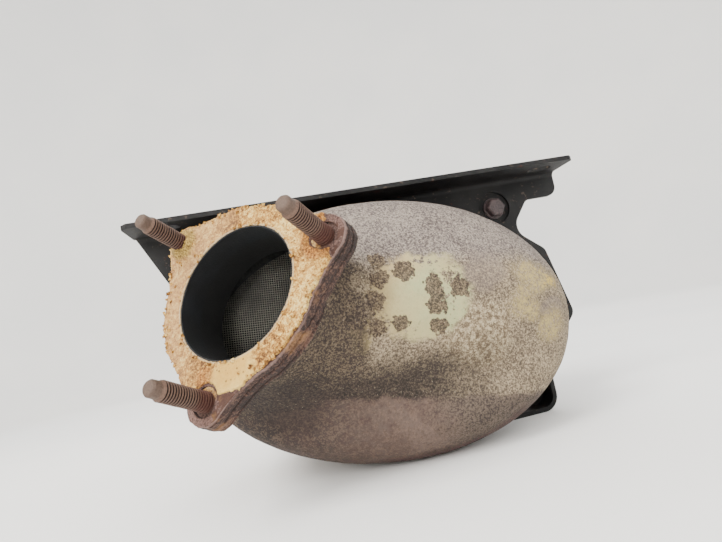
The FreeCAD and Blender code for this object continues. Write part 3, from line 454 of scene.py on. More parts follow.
def rust_finish(name, dark, light, rough=0.85):
    """Granular rust: grains and clouds of a dark and a light tone."""
    f = Finish(name)
    grit = f.noise(1000.0, 3.0, 0.65)
    cloud = f.noise(90.0, 3.0, 0.6)
    colour = f.mix(f.between(grit * 0.6 + cloud * 0.4, 0.36, 0.64), dark, light)
    return f.coat(Base_Color=colour, Roughness=rough, Normal=f.bump(grit, 0.0005, 0.8))


def plate_finish():
    """Inlet flange: dark scale with darker splits, ochre clouds and a pinkish line near the face."""
    f = Finish("flange_scale")
    grit = f.noise(1100.0, 3.0, 0.65)
    cloud = f.noise(80.0, 4.0, 0.6)
    ochre = f.mix(f.between(grit * 0.5 + cloud * 0.5, 0.38, 0.62), tone(110, 84, 62), tone(186, 152, 112))
    brown = f.tones(f.between(grit * 0.55 + cloud * 0.45, 0.36, 0.64), [
        (0.0, tone(52, 40, 36)), (0.5, tone(86, 68, 62)), (1.0, tone(138, 114, 104))])
    mauve = f.mix(grit, tone(120, 98, 96), tone(188, 168, 160))
    layer, depth = f.attribute("layer"), f.attribute("depth")
    line = f.between(depth + cloud * 0.12, 0.20, 0.10)
    colour = f.mix(line * 0.8, brown, mauve)
    bare_face = f.mix(grit, tone(66, 48, 44), tone(120, 92, 80))
    colour = f.mix(f.between(depth, 0.012, 0.002), colour, bare_face)
    colour = f.mix(f.between(layer + cloud * 0.3, 0.40, 0.15) * 0.6, colour, tone(40, 30, 27))
    colour = f.mix(f.between(cloud, 0.52, 0.66) * f.between(depth, 0.9, 0.3) * 0.5, colour, ochre)
    return f.coat(Base_Color=colour, Roughness=0.88, Normal=f.bump(grit + cloud, 0.0006, 0.9))


def gasket_finish():
    """Baked ochre crust: sandy grains, olive and orange areas, smooth yellow ones and a pale bore edge.

    Where the crust is torn away, the plate's dark metal shows; in the ring round the studs' pits a darker
    red is painted shade.
    """
    f = Finish("gasket_sand_and_pit_shade")
    grit = f.noise(1300.0, 3.0, 0.65)
    crumb = f.noise(520.0, 2.0, 0.6)
    cloud = f.noise(75.0, 4.0, 0.6)
    bare, hole, edge = (f.attribute(name) for name in ("bare", "hole", "edge"))
    yellow, orange, olive, left = (f.attribute(name) for name in ("yellow", "orange", "olive", "left"))
    sand = f.tones(f.between(grit * 0.40 + crumb * 0.30 + cloud * 0.30, 0.37, 0.63), [
        (0.0, tone(96, 66, 42)), (0.28, tone(176, 138, 92)), (0.62, tone(218, 186, 132)),
        (1.0, tone(250, 228, 178))])
    colour = f.mix(left * 0.5, sand, f.mix(crumb, tone(176, 146, 118), tone(224, 198, 166)))
    pale = f.mix(f.between(cloud + grit * 0.3, 0.5, 0.8), tone(246, 222, 166), tone(226, 194, 134))
    colour = f.mix(f.between(yellow + cloud * 0.9 + crumb * 0.4, 0.85, 1.55) * 0.9, colour, pale)
    rust = f.mix(f.between(grit, 0.35, 0.65), tone(120, 78, 50), tone(214, 166, 112))
    colour = f.mix(f.between(orange + crumb * 0.9 + cloud * 0.6, 0.95, 1.7) * 0.75, colour, rust)
    crust = f.mix(f.between(grit, 0.35, 0.65), tone(120, 98, 56), tone(208, 186, 132))
    colour = f.mix(f.between(olive + crumb * 0.4, 0.25, 0.7) * 0.95, colour, crust)
    metal = f.mix(f.between(grit * 0.6 + cloud * 0.4, 0.36, 0.64), tone(78, 60, 57), tone(158, 134, 126))
    colour = f.mix(f.between(bare + crumb * 0.4, 0.55, 0.85), colour, metal)
    colour = f.mix(f.between(edge + crumb * 0.3, 0.6, 1.0) * 0.7, colour, tone(214, 200, 176))
    # Painted shade in the ring round the studs' pits.
    colour = f.mix(f.between(hole + grit * 0.3, 0.35, 0.75), colour, tone(58, 36, 32))
    pits = f.between(f.cells(420.0), 0.24, 0.10) * f.between(cloud, 0.42, 0.62)
    colour = f.mix(pits * 0.75, colour, tone(88, 62, 44))
    return f.coat(Base_Color=colour, Roughness=0.9, Normal=f.bump(grit * 0.6 + crumb, 0.0009, 0.9))


def thread_finish():
    """Rusted studs: light crests over dark purple-brown grooves, grey tips and a redder, corroded root."""
    f = Finish("stud_rust")
    grit = f.noise(1400.0, 3.0, 0.6)
    cloud = f.noise(160.0, 3.0, 0.6)
    groove, run = f.attribute("groove"), f.attribute("run")
    crest = f.mix(grit, tone(86, 64, 60), tone(160, 138, 124))
    deep = f.mix(grit, tone(22, 12, 13), tone(58, 38, 36))
    colour = f.mix(f.between(groove + cloud * 0.30, 0.20, 0.60), crest, deep)
    tip = f.between(run, 0.83, 0.88)
    colour = f.mix(tip * 0.85, colour, f.mix(grit, tone(84, 70, 64), tone(142, 126, 115)))
    root = f.between(run + cloud * 0.2, 0.42, 0.22)
    colour = f.mix(root * 0.7, colour, f.mix(grit, tone(62, 30, 26), tone(120, 72, 58)))
    return f.coat(Base_Color=colour, Roughness=0.72, Metallic=0.15, Normal=f.bump(grit, 0.0003, 0.8))


def brick_finish():
    """Coated honeycomb: light grey walls, painted black just behind the front face as shade in the cells."""
    f = Finish("brick_wash_and_cell_shade")
    grit = f.noise(900.0, 2.0, 0.6)
    cloud = f.noise(45.0, 3.0, 0.5)
    colour = f.mix(f.between(cloud, 0.35, 0.65), tone(138, 137, 132), tone(176, 174, 167))
    # Painted shade in the cells: black from 0.3 mm behind the front face.
    deep = f.between(f.axis("Y"), BRICK_FRONT + 0.03 * MM, BRICK_FRONT + 0.3 * MM)
    colour = f.mix(deep, colour, (0.004, 0.004, 0.004))
    return f.coat(Base_Color=colour, Roughness=0.85, Normal=f.bump(grit, 0.0001, 0.5))


def soot_and_bore_shade_finish():
    """Inside of the pipes: blue-grey soot, and in the inlet painted shade, black from 12 mm behind the face.
    """
    f = Finish("soot_and_bore_shade")
    grit = f.noise(1500.0, 2.0, 0.6)
    cloud = f.noise(70.0, 3.0, 0.6)
    colour = f.mix(f.between(cloud, 0.35, 0.70), tone(16, 18, 22), tone(38, 42, 48))
    run = f.value("ShaderNodeVectorMath", {"operation": "DOT_PRODUCT"}, {
        0: f.shaken(0.0015, 90.0), 1: tuple(inlet_out)}, "Value")
    face = float(inlet.origin @ inlet_out)
    # Painted shade deep in the inlet bore.
    deep = f.between(run, face - 11.0 * MM, face - 12.2 * MM)
    at_inlet = f.between(f.axis("Y"), -0.10, -0.11)
    colour = f.mix(deep * at_inlet, colour, (0.0015, 0.0015, 0.0018))
    return f.coat(Base_Color=colour, Roughness=0.62 + 0.2 * grit, Normal=f.bump(grit + cloud, 0.0003, 0.6))


def paint_finish():
    """Near-black satin paint: dusty grey clouds, worn flecks and a few rust freckles."""
    f = Finish("bracket_paint", Specular_IOR_Level=0.25)
    grit = f.noise(1500.0, 2.0, 0.5)
    cloud = f.noise(38.0, 4.0, 0.6)
    fleck = f.noise(260.0, 3.0, 0.7)
    colour = f.mix(f.between(cloud, 0.38, 0.72), tone(26, 26, 28), tone(62, 61, 61))
    colour = f.mix(f.between(fleck, 0.60, 0.68) * 0.6, colour, tone(118, 108, 100))
    freckles = f.between(f.noise(120.0, 3.0, 0.7), 0.64, 0.72)
    colour = f.mix(freckles * 0.7, colour, tone(92, 58, 42))
    return f.coat(
        Base_Color=colour, Roughness=0.40 + 0.30 * cloud + 0.15 * fleck,
        Normal=f.bump(grit + fleck, 0.0002, 0.5))


# ---------------------------------------------------------------------------------------
# Shapes
# ---------------------------------------------------------------------------------------


def unit(vector):
    """The vector's direction, at length 1."""
    return np.asarray(vector, float) / np.linalg.norm(vector)


def smooth(value, low, high):
    """0 below low, 1 above high, with a soft step between."""
    t = np.clip((value - low) / (high - low), 0, 1)
    return t * t * (3 - 2 * t)


def grain(points, per_metre, seed):
    """Random numbers on a cubic lattice, blended smoothly to each point: values from -1 to 1."""
    size = 32
    table = np.random.default_rng(seed).uniform(-1, 1, (size, size, size))
    scaled = np.asarray(points) * per_metre
    cell = np.floor(scaled).astype(int)
    part = scaled - cell
    part = part * part * (3 - 2 * part)
    total = np.zeros(scaled.shape[:-1])
    for corner in np.ndindex(2, 2, 2):
        weight = np.prod(np.where(corner, part, 1 - part), axis=-1)
        index = (cell + corner) % size
        total = total + weight * table[index[..., 0], index[..., 1], index[..., 2]]
    return total


def rust_grain(points, per_metre, seed):
    """Three layers of grain, each twice as fine and half as strong as the last."""
    layers = (grain(points, per_metre * 2 ** k, seed + k) * 0.5 ** k for k in range(3))
    return sum(layers) / 1.75


class Frame:
    """A place with three directions: points given as (across, over, out) land in the part's frame."""

    def __init__(self, origin, across, over, out):
        self.origin = np.asarray(origin, float)
        self.axes = np.stack([across, over, out])

    def at(self, across, over, out):
        local = np.stack(np.broadcast_arrays(across, over, out), -1)
        return self.origin + local @ self.axes


def mount(name):
    """A mount of the part's record, by name."""
    return next(item for item in frame["record"]["mounts"] if item["name"] == name)


# The inlet: level right and up on its face, then across and over, rolled with its three ears.
INLET_ROLL = math.radians(12.2)
inlet_out = unit(mount("inlet_studs")["axis"])
inlet_right = unit(np.cross([0, 0, 1], inlet_out))
inlet_up = np.cross(inlet_out, inlet_right)
inlet_over = inlet_up * math.cos(INLET_ROLL) + inlet_right * math.sin(INLET_ROLL)
inlet = Frame(mount("inlet_studs")["pos_m"], np.cross(inlet_over, inlet_out), inlet_over, inlet_out)

# The can: the oval's long and short axes, and the way the gas flows.
CAN_ROLL = math.radians(5.1)
can_right = np.array([math.cos(CAN_ROLL), 0, -math.sin(CAN_ROLL)])
can_up = np.array([math.sin(CAN_ROLL), 0, math.cos(CAN_ROLL)])
FLOW = np.array([0, 1, 0])
can = Frame((0, 0, 0), can_right, can_up, FLOW)

# Radii of the round parts, and half axes of the oval ones.
WALL = 2 * MM
SLIP = 0.1 * MM
BORE = mount("inlet_bore")["dims"]["r_mm"] * MM
PIPE = BORE + WALL
COLLAR = PIPE + SLIP + WALL
STUD_RING = mount("inlet_studs")["dims"]["pcd_mm"] / 2 * MM
CAN_HALF = (93.9 * MM, 62.4 * MM)
SKIN_HALF = tuple(half + SLIP + WALL for half in CAN_HALF)
BRICK_HALF = (85.9 * MM, 52.9 * MM)

# Thicknesses, and stations along the flow or behind the inlet face.
GASKET = 1.4 * MM
PLATE = 10 * MM
CAN_FRONT, CAN_REAR = (corner.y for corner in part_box("can_shell"))
BRICK_FRONT, BRICK_REAR = (corner.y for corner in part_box("substrate"))
SKIRT = 16 * MM
COLLAR_END = 18 * MM

# Where the studs' axes cross the inlet face, across and over.
STUDS = {
    name: (STUD_RING * math.cos(turn), STUD_RING * math.sin(turn))
    for name, turn in zip(("lower", "upper_right", "upper_left"), TURN / 3 * np.arange(3) - math.pi / 2)}

# Corners of a unit cube, and its sides' corner numbers.
CUBE_CORNERS = np.array([(i, j, k) for i in (0, 1) for j in (0, 1) for k in (0, 1)], float)
CUBE_SIDES = np.array([(0, 1, 3, 2), (4, 6, 7, 5), (0, 4, 5, 1), (2, 3, 7, 6), (0, 2, 6, 4), (1, 5, 7, 3)])


def shell_object(name, points, close_rows=True):
    """A surface on a grid of points, closed round its columns and, if asked, its rows; it faces outwards."""
    rows, columns = points.shape[:2]
    faces = grid_faces(rows, columns, close_rows, close_columns=True)
    points = points.reshape(-1, 3)
    a, b, c, d = (points[faces[:, k]] for k in range(4))
    volume = (a * (np.cross(b, c) + np.cross(c, d))).sum()
    return mesh_object(name, points, faces if volume > 0 else faces[:, ::-1])


def mark(item, **measures):
    """Stores named numbers at a piece's points, for its finish to read."""
    for name, numbers in measures.items():
        layer = item.data.attributes.new(name, "FLOAT", "POINT")
        layer.data.foreach_set("value", np.ascontiguousarray(numbers, dtype=np.float32).ravel())
    return item


def show(item, material, slot, *replaced):
    """Hands a piece over: its material, the body it rides and the CAD nodes it stands in for; its slot is
    not used.
    """
    item.data.materials.append(material)
    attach(item, "root")
    if replaced:
        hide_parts(*replaced)


# Crown of the inlet side ---------------------------------------------------------------


# The crown is fullest at this angle round the inlet, counted from level right.
FULL_SIDE = math.radians(-65)


def crown_point(angle, travel):
    """Cubic curve from the collar's circle to the oval rim, with a ridge, a valley and a belly across it.

    The curve keeps to the neck's direction furthest on the full side, below the neck and to its right.
    Ridge, valley and belly are bell curves over the height, and fade out as sin(pi travel) squared.
    """
    facing = np.maximum(np.cos(angle - FULL_SIDE), 0)[..., None] ** 2
    cos, sin = np.cos(angle)[..., None], np.sin(angle)[..., None]
    start = inlet.origin - inlet_out * COLLAR_END + (inlet_right * cos + inlet_up * sin) * COLLAR
    end = FLOW * CAN_FRONT + can_right * SKIN_HALF[0] * cos + can_up * SKIN_HALF[1] * sin
    span = np.linalg.norm(end - start, axis=-1, keepdims=True)
    leave = start - inlet_out * span * (0.07 + 0.33 * facing)
    arrive = end - FLOW * span * (0.30 + 0.12 * facing)
    t = travel[..., None]
    point = (
        start * (1 - t) ** 3 + leave * 3 * (1 - t) ** 2 * t
        + arrive * 3 * (1 - t) * t ** 2 + end * t ** 3)
    height = point[..., 2] / MM
    lift = (
        1.0 * np.exp(-((height - 6) / 16) ** 2)
        - 3.5 * np.exp(-((height + 27) / 12) ** 2)
        + 2.0 * np.exp(-((height + 48) / 10) ** 2))
    point[..., 1] -= lift * MM * np.sin(math.pi * travel) ** 2
    return point


def normals(points):
    """Unit normals of a grid that is closed round its columns, from the differences between neighbours."""
    along = np.gradient(points, axis=0)
    around = np.roll(points, -1, 1) - np.roll(points, 1, 1)
    normal = np.cross(along, around)
    return normal / np.maximum(np.linalg.norm(normal, axis=-1, keepdims=True), 1e-12)


def crown(name, around=400, along=150):
    """Collar, crown and skirt as one wall: the outer skin to the skirt's end, then the inner skin back.

    Only the outer skin is rough, and it runs smooth towards the skirt's end. The inner skin has every
    fourth row.
    """
    angle = np.linspace(0, TURN, around, endpoint=False)
    body = crown_point(*np.meshgrid(angle, np.linspace(0, 1, along)))
    collar_run = np.linspace(COLLAR_END - GASKET - PLATE, 0, 8, endpoint=False)[:, None, None]
    skirt_run = np.linspace(0, SKIRT, 17)[1:, None, None]
    outer = np.concatenate([body[:1] + inlet_out * collar_run, body, body[-1:] + FLOW * skirt_run])
    inner = outer + normals(outer) * -WALL
    rough = rust_grain(outer, 260, 3) * 0.12 * MM + grain(outer, 60, 9) * 0.25 * MM
    calm = 1 - smooth(outer[..., 1], CAN_FRONT + SKIRT * 0.6, CAN_FRONT + SKIRT)
    outer = outer + normals(outer) * (rough * calm)[..., None]
    inner = inner[::-4]
    item = shell_object(name, np.concatenate([outer, inner]))
    return mark(item, inside=np.concatenate([np.zeros(outer.shape[:2]), np.ones(inner.shape[:2])]))


# Flange and gasket ---------------------------------------------------------------------


def ear_outline(angle, disc=40 * MM, ear=11.5 * MM, hollow=18 * MM):
    """Radius of a disc with three ears: the ear's circle, a hollow arc that touches both, the disc.

    All is worked out for one ear at angle 0, whose circle and disc the hollow's circle touches from outside.
    """
    third = TURN / 3
    away = np.abs((angle + math.pi / 2 + third / 2) % third - third / 2)
    pivot = disc + hollow
    turn = math.acos((pivot ** 2 + STUD_RING ** 2 - (ear + hollow) ** 2) / (2 * pivot * STUD_RING))
    touch = np.array([STUD_RING, 0]) + ear * unit(
        np.array([pivot * math.cos(turn) - STUD_RING, pivot * math.sin(turn)]))
    edge = math.atan2(touch[1], touch[0])
    on_ear = STUD_RING * np.cos(away) + np.sqrt(np.maximum(ear ** 2 - (STUD_RING * np.sin(away)) ** 2, 0))
    gap = turn - away
    in_hollow = pivot * np.cos(gap) - np.sqrt(np.maximum(hollow ** 2 - (pivot * np.sin(gap)) ** 2, 0))
    return np.where(away < edge, on_ear, np.where(away < turn, in_hollow, disc))


def stud_distance(x, y):
    """Distance from a point of the inlet face to the nearest stud's axis."""
    return np.min([np.hypot(x - stud[0], y - stud[1]) for stud in STUDS.values()], axis=0)


def worn_outline(angle):
    """The plate's outline: rust has bitten it in two sizes of bite, and swells it on one side."""
    way = np.stack(np.broadcast_arrays(np.cos(angle), np.sin(angle), 0 * angle), -1)
    bites = 0.45 * MM * rust_grain(way, 7, 51) + 0.40 * MM * rust_grain(way, 36, 52)
    swell = 2.4 * MM * np.exp(-((angle - math.radians(118)) / 0.30) ** 2)
    return ear_outline(angle, ear=9.8 * MM, hollow=60 * MM) + bites + swell - 0.2 * MM


LAYER = 3.8 * MM


def flange(name):
    """Thick rusted plate: face, side with split layers, back and bore, as one profile round the bore.

    The layer is a triangle wave over the side's height, bent by a slow grain; its low points are the
    splits, which sink inwards. A pocket round each stud sinks the face.
    """
    angle = np.linspace(0, TURN, 900, endpoint=False)[None, :]
    rim = worn_outline(angle)
    front, back = -GASKET, -GASKET - PLATE
    inner = PIPE + SLIP
    face = np.linspace(0, 1, 36)[:, None]
    side = np.linspace(0, 1, 40)[1:-1, None]
    radius = np.concatenate([
        inner + (rim - 0.6 * MM - inner) * face,
        rim + 0 * side,
        inner + (rim - 0.9 * MM - inner) * face[::-3]])
    height = np.concatenate([
        front + 0 * face + 0 * angle,
        front - 0.3 * MM + (back - front + 0.8 * MM) * side + 0 * angle,
        back + 0 * face[::-3] + 0 * angle])
    x, y = radius * np.cos(angle), radius * np.sin(angle)
    on_side = np.zeros_like(height)
    on_side[len(face):len(face) + len(side)] = 1
    place = inlet.at(x, y, height)
    bend = 0.30 + 0.55 * grain(inlet.at(x, y, 0 * height), 28, 5)
    layer = np.abs((height / LAYER + bend) % 1 - 0.5) * 2
    layer = np.where(on_side > 0, layer, 1)
    on_face = height > front - 0.1 * MM
    sink = 5.0 * MM * smooth(stud_distance(x, y), 5.9 * MM, 5.4 * MM) * on_face
    rough = rust_grain(place, 420, 11) * 0.22 * MM + grain(place, 130, 12) * 0.20 * MM * on_side
    split = on_side * (smooth(layer, 0.30, 0.0) * -0.8 * MM) * smooth(grain(place, 55, 13), -0.5, 0.2)
    rough = (rough + split) * (radius > PIPE + 1.5 * MM)
    outward = np.stack(np.broadcast_arrays(np.cos(angle), np.sin(angle)), -1)
    x, y = x + on_side * rough * outward[..., 0], y + on_side * rough * outward[..., 1]
    item = shell_object(name, inlet.at(x, y, height - sink + on_face * rough))
    return mark(item, layer=layer, depth=(front - height) / PLATE)


def gasket(name):
    """Crumbling layer on the plate: granular, torn away at two ears, with open rings round two studs.

    Its top is grain of three sizes. It sinks into the plate where that is bare, is heaped round the upper
    left stud and has a lip round the upper right one's bare spot. Noise shakes most distances, so that
    the edges of these areas come out ragged.
    """
    angle = np.linspace(0, TURN, 1000, endpoint=False)[None, :]
    way = np.stack(np.broadcast_arrays(np.cos(angle), np.sin(angle), 0 * angle), -1)
    rim = worn_outline(angle) - 0.3 * MM
    lower_right = np.maximum(np.cos(angle - math.radians(-38)), 0) ** 4
    ragged = np.abs(0.8 * MM * rust_grain(way, 9, 21) + 0.7 * MM * rust_grain(way, 42, 22))
    rim = rim - ragged - 0.5 * MM * lower_right
    inner = BORE + 0.5 * MM + 0.35 * MM * np.abs(rust_grain(way, 34, 23))
    face = np.linspace(0, 1, 84)[:, None]
    drop = np.linspace(0, 1, 5)[1:, None]
    radius = np.concatenate([inner + 0 * drop, inner + (rim - inner) * face, rim + 0.2 * MM * drop])
    height = np.concatenate([
        -(GASKET - 0.2 * MM) * (1 - drop * 0.98) - 0.1 * MM + 0 * angle, 0 * face + 0 * angle,
        -(GASKET + 0.1 * MM) * drop + 0 * angle])
    x, y = radius * np.cos(angle), radius * np.sin(angle)
    place = inlet.at(x, y, height)
    shake = 1.6 * MM * rust_grain(place, 150, 27) + 0.6 * MM * rust_grain(place, 600, 28)

    lower, upper_right, upper_left = STUDS.values()
    to_lower, to_right, to_left = (
        np.hypot(x - stud[0], y - stud[1]) + shake for stud in (lower, upper_right, upper_left))
    past_right = (x - upper_right[0]) * 0.94 + (y - upper_right[1]) * 0.34
    ring = smooth(stud_distance(x, y), 6.3 * MM, 5.6 * MM) * smooth(to_left, 6.5 * MM, 8.5 * MM)
    bare = functools.reduce(np.maximum, (
        smooth(y - lower[1] + shake - 0.25 * x, 2.5 * MM, 1.5 * MM),
        smooth(past_right + shake, 1.5 * MM, 2.4 * MM) * smooth(to_right, 15 * MM, 13 * MM),
        smooth(to_lower, 7.4 * MM, 6.4 * MM),
        smooth(to_right, 7.0 * MM, 6.2 * MM),
        ring))

    top = np.zeros_like(height)
    top[len(drop):len(drop) + len(face)] = 1
    rough = MM * (
        rust_grain(place, 560, 25) * 0.17 + grain(place, 230, 29) * 0.16 + grain(place, 80, 26) * 0.20)
    well = np.minimum(stud_distance(x, y) + 0.25 * shake, 9 * MM)
    pit = smooth(well, 6.0 * MM, 5.2 * MM) * smooth(to_left, 6.5 * MM, 8.5 * MM)
    mound = smooth(to_left, 10.0 * MM, 3.5 * MM)
    lip = smooth(np.abs(to_right - 9.4 * MM), 2.0 * MM, 0.4 * MM) * (1 - bare)
    lift = rough + mound * (3.4 * MM + 3.5 * rough) + lip * 0.9 * MM
    sink = pit * 3.4 * MM + bare * 1.25 * MM
    item = shell_object(name, inlet.at(x, y, height + top * (lift - 0.15 * MM) - sink))
    to_yellow = np.hypot(x - 12 * MM, y + 36 * MM) + 2.2 * shake
    to_orange = np.hypot(x + 3 * MM, y + 36 * MM)
    # The ring round the studs' pits is also stored for the painted shade there.
    return mark(
        item, bare=bare, olive=mound, hole=ring, left=smooth(x, 0, -30 * MM),
        yellow=smooth(to_yellow, 19 * MM, 4 * MM),
        orange=np.maximum(smooth(to_right, 13 * MM, 8 * MM), smooth(to_orange, 7 * MM, 2 * MM)),
        edge=smooth(radius - inner, 1.4 * MM, 0.2 * MM))


def crumbs(name, places, sizes, seed):
    """Loose grains: cubes of the sizes given, each corner pushed at random by up to a third of its size."""
    random = np.random.default_rng(seed)
    corners = random.uniform(-0.33, 0.33, (len(places), 8, 3)) + CUBE_CORNERS - 0.5
    points = places[:, None] + corners * sizes[:, None, None]
    faces = CUBE_SIDES[None] + 8 * np.arange(len(places))[:, None, None]
    return mesh_object(name, points.reshape(-1, 3), faces.reshape(-1, 4), smooth=False)


def gasket_crumbs(name, count=420):
    """Grains on the worn face: most along the plate's outline, some round the bore and the upper left stud.

    None is kept on the two bare ears or past the outline.
    """
    random = np.random.default_rng(61)
    angle = random.uniform(0, TURN, count)
    kind = random.choice(3, count, p=(0.62, 0.18, 0.20))
    rim = worn_outline(angle) - random.exponential(1.2 * MM, count) - 0.3 * MM
    mouth = BORE + 0.9 * MM + random.exponential(0.6 * MM, count)
    heap = random.normal(0, 4.5 * MM, (2, count))
    stud = STUDS["upper_left"]
    x = np.choose(kind, (rim * np.cos(angle), mouth * np.cos(angle), stud[0] + heap[0]))
    y = np.choose(kind, (rim * np.sin(angle), mouth * np.sin(angle), stud[1] + heap[1]))
    sizes = random.uniform(0.35, 1.0, count) ** 2 * 1.3 * MM
    off_ears = (y > -34 * MM) & ((x < 27 * MM) | (y < 10 * MM))
    keep = off_ears & (np.hypot(x, y) < worn_outline(np.arctan2(y, x)))
    lift = np.where(kind == 2, 2.6 * MM * np.exp(-(heap ** 2).sum(0) / (6 * MM) ** 2), 0)
    return crumbs(name, inlet.at(x, y, lift)[keep], sizes[keep], 62)


# Threads, welds and honeycomb -----------------------------------------------------------


def threaded_rod(name, place, profile, start, stop, pitch, depth, wear, around=48, per_turn=14):
    """A rod whose radius follows a profile along its run, with a helical groove between two stations.

    The groove is a rounded tooth of the phase run / pitch - angle / turn, and rust wears it unevenly.
    """
    runs, sizes = profile.T
    steps = np.arange(runs[0], runs[-1], pitch / per_turn)
    run = np.unique(np.concatenate([steps, runs]))[:, None]
    angle = np.linspace(0, TURN, around, endpoint=False)[None, :]
    radius = np.interp(run, runs, sizes) + 0 * angle
    phase = (run / pitch - angle / TURN) % 1
    tooth = smooth(np.abs(phase - 0.5) * 2, 0.30, 0.80)
    within = smooth(run, start, start + pitch) * smooth(run, stop, stop - 0.6 * pitch)
    radius = radius - depth * tooth * within
    points = place.at(radius * np.cos(angle), radius * np.sin(angle), run)
    radius = radius + rust_grain(points, 600, 31) * wear
    points = place.at(radius * np.cos(angle), radius * np.sin(angle), run)
    first, last = (place.at(0 * angle, 0 * angle, end + 0 * angle) for end in runs[[0, -1]])
    item = shell_object(name, np.concatenate([first, points, last]), close_rows=False)
    groove = np.pad(tooth * within + 0 * angle, ((1, 1), (0, 0)))
    share = np.pad(run / runs[-1] + 0 * angle, ((1, 1), (0, 0)), mode="edge")
    return mark(item, groove=groove, run=share)


# Stations along a stud, from the inlet face, and its radii there; the last ones are the dog point.
STUD_PROFILE = MM * np.array([
    (-11.6, 4.2), (-4.6, 4.25), (-4.2, 4.35), (0.5, 4.2), (3.0, 4.0),
    (20.2, 4.0), (21.6, 3.35), (24.6, 3.2), (25.3, 2.7), (25.5, 2.1)])


def inlet_stud(name):
    """An M8 stud of the inlet flange, swollen by rust at its root."""
    place = Frame(inlet.at(*STUDS[name], 0.0), *inlet.axes)
    return threaded_rod(
        f"stud_{name}", place, STUD_PROFILE, start=-3.5 * MM, stop=20.6 * MM, pitch=1.25 * MM,
        depth=0.85 * MM, wear=0.07 * MM)


def bead(name, centre_line, outward, forward, size, ripple, seed, sides=10):
    """A weld bead: a round section swept along a closed line, with the scallops of laid drops.

    The section is full in the middle of each drop and shrinks to 80 % of its radius between two.
    """
    count = len(centre_line)
    step = np.linalg.norm(np.roll(centre_line, -1, 0) - centre_line, axis=1)
    length = np.concatenate([[0], np.cumsum(step)[:-1]])
    drops = round(step.sum() / ripple)
    phase = (length / step.sum() * drops) % 1
    section = np.linspace(0, TURN, sides, endpoint=False)[:, None]
    scallop = 0.80 + 0.20 * np.sqrt(np.maximum(1 - (2 * phase - 1) ** 2, 0))
    wander = 1 + 0.12 * grain(centre_line, 40, seed)
    radius = size * scallop * wander
    way = np.cos(section)[..., None] * outward + np.sin(section)[..., None] * forward
    points = centre_line + way * (radius + 0 * section)[..., None]
    points = points + way * (rust_grain(points, 700, seed + 1) * 0.10 * MM)[..., None]
    return shell_object(name, np.swapaxes(points, 0, 1).reshape(count, sides, 3))


def round_bead(name, place, radius, height, side, seed):
    """A bead round a tube, in its corner with a face at the height given: side 1 is over it, -1 under."""
    angle = np.linspace(0, TURN, 420, endpoint=False)
    ring = radius + 0.6 * MM
    line = place.at(ring * np.cos(angle), ring * np.sin(angle), height + side * 0.6 * MM)
    outward = np.cos(angle)[:, None] * place.axes[0] + np.sin(angle)[:, None] * place.axes[1]
    forward = np.broadcast_to(place.axes[2], outward.shape)
    return bead(name, line, outward, forward, 2.3 * MM, 2.6 * MM, seed)


def oval_bead(name, station, seed):
    """A bead round the oval where a skirt ends on the can."""
    angle = np.linspace(0, TURN, 1100, endpoint=False)
    half = [side + 0.5 * MM for side in CAN_HALF]
    line = can.at(half[0] * np.cos(angle), half[1] * np.sin(angle), station)
    outward = np.cos(angle)[:, None] / half[0] * can_right + np.sin(angle)[:, None] / half[1] * can_up
    outward = outward / np.linalg.norm(outward, axis=1, keepdims=True)
    forward = np.broadcast_to(FLOW, outward.shape)
    return bead(name, line, outward, forward, 2.2 * MM, 2.8 * MM, seed)


def honeycomb(name, pitch=1.1 * MM, thickness=0.21 * MM):
    """Square cells: thin blades along both axes of the oval, each as long as the oval's chord there.

    One set of blades is inset at both ends, so that no two ends lie in one plane.
    """
    box = CUBE_CORNERS * (2, 2, 1) - (1, 1, 0)
    points, faces = [], []
    for axis in (0, 1):
        reach, other = BRICK_HALF[axis] - 0.3 * MM, BRICK_HALF[1 - axis] - 0.3 * MM
        count = int(reach / pitch)
        places = np.arange(-count, count + 1) * pitch
        chords = other * np.sqrt(1 - (places / reach) ** 2)
        inset = 0.02 * MM * axis
        corners = np.zeros((len(places), 8, 3))
        corners[..., axis] = places[:, None] + box[:, axis] * thickness / 2
        corners[..., 1 - axis] = chords[:, None] * box[:, 1 - axis]
        corners[..., 2] = BRICK_FRONT + inset + box[:, 2] * (BRICK_REAR - BRICK_FRONT - 2 * inset)
        first = sum(len(block) for block in points)
        sides = CUBE_SIDES[:, ::-1] if axis == 0 else CUBE_SIDES
        faces.append((sides + np.arange(len(places))[:, None, None] * 8 + first).reshape(-1, 4))
        points.append(can.at(*np.moveaxis(corners, -1, 0)).reshape(-1, 3))
    return mesh_object(name, np.concatenate(points), np.concatenate(faces), smooth=False)


def brick_skin(name):
    """Outer skin of the brick: a thin oval tube."""
    angle = np.linspace(0, TURN, 240, endpoint=False)[None, :]
    inset = np.array([0, 0, 0.4, 0.4])[:, None] * MM
    run = np.array([BRICK_FRONT, BRICK_REAR, BRICK_REAR, BRICK_FRONT])[:, None]
    points = can.at((BRICK_HALF[0] - inset) * np.cos(angle), (BRICK_HALF[1] - inset) * np.sin(angle), run)
    return shell_object(name, points)


# ---------------------------------------------------------------------------------------
# The object
# ---------------------------------------------------------------------------------------

floor.data.materials.append(floor_finish())

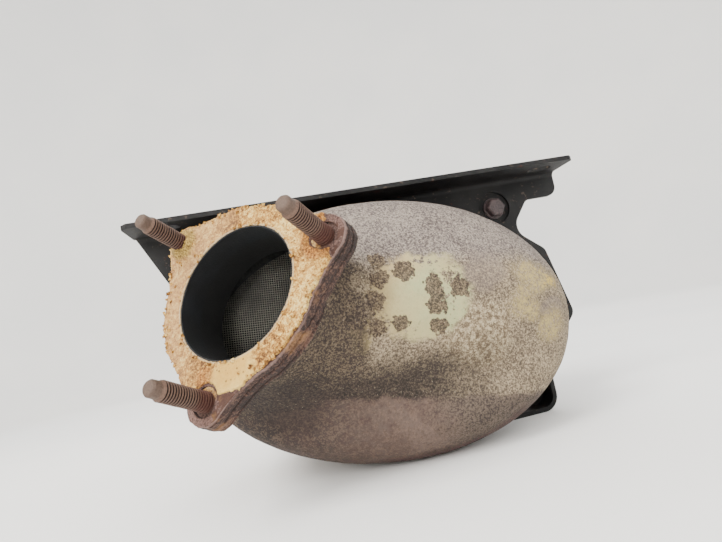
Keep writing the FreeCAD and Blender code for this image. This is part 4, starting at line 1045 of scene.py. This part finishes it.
stud_rust = thread_finish()
weld_scale = rust_finish("weld_scale", tone(66, 54, 50), tone(140, 122, 112))
can_scale = rust_finish("can_scale", tone(98, 86, 80), tone(164, 150, 140))
brick_clay_and_cell_shade = brick_finish()
soot_and_bore_shade = soot_and_bore_shade_finish()

show(crown("crown"), crown_finish(), "inlet_cone", "inlet_cone")
show(flange("flange_plate"), plate_finish(), "inlet_flange", "inlet_flange")
gasket_sand_and_pit_shade = gasket_finish()
show(gasket("gasket_crust"), gasket_sand_and_pit_shade, "gasket", "inlet_gasket")
show(gasket_crumbs("gasket_crumbs"), gasket_sand_and_pit_shade, "gasket")
for name in STUDS:
    show(inlet_stud(name), stud_rust, "stud", f"inlet_stud_{name}")

CONE_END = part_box("outlet_cone")[1].y
outlet = Frame((0, 0, 0), (-1, 0, 0), (0, 0, 1), FLOW)
show(round_bead("bead_inlet", inlet, COLLAR, -GASKET - PLATE, -1, 41), weld_scale, "weld", "inlet_weld")
show(round_bead("bead_outlet", outlet, PIPE, -PLATE, -1, 43), weld_scale, "weld", "outlet_weld")
show(round_bead("bead_collar", outlet, PIPE, CONE_END, 1, 45), weld_scale, "weld", "collar_weld")
show(oval_bead("bead_front", CAN_FRONT + SKIRT, 47), weld_scale, "weld", "front_rim_weld")
show(oval_bead("bead_rear", CAN_REAR - SKIRT, 49), weld_scale, "weld", "rear_rim_weld")

show(honeycomb("honeycomb"), brick_clay_and_cell_shade, "brick", "substrate")
show(brick_skin("brick_skin"), brick_clay_and_cell_shade, "brick", "substrate")

dress(soot_and_bore_shade, "inlet_pipe", "outlet_pipe")
dress(can_scale, "can_shell", "outlet_cone")
dress(rust_finish("mat_fibre", tone(150, 144, 130), tone(190, 184, 168)), "support_mat")
dress(rust_finish("ring_steel", tone(40, 40, 40), tone(78, 78, 76)), "front_seal_ring", "rear_seal_ring")
dress(rust_finish("outlet_flange_scale", tone(96, 78, 66), tone(162, 140, 120)), "outlet_flange")
dress(paint_finish(), "bracket")
lug_rust = rust_finish("lug_rust", tone(62, 56, 52), tone(118, 104, 96))
bolt_steel = rust_finish("bolt_steel", tone(60, 50, 52), tone(112, 98, 98), rough=0.5)
for side in ("left", "right", "side"):
    dress(lug_rust, f"bracket_lug_{side}")
    dress(bolt_steel, f"bracket_bolt_{side}", f"bracket_nut_{side}")
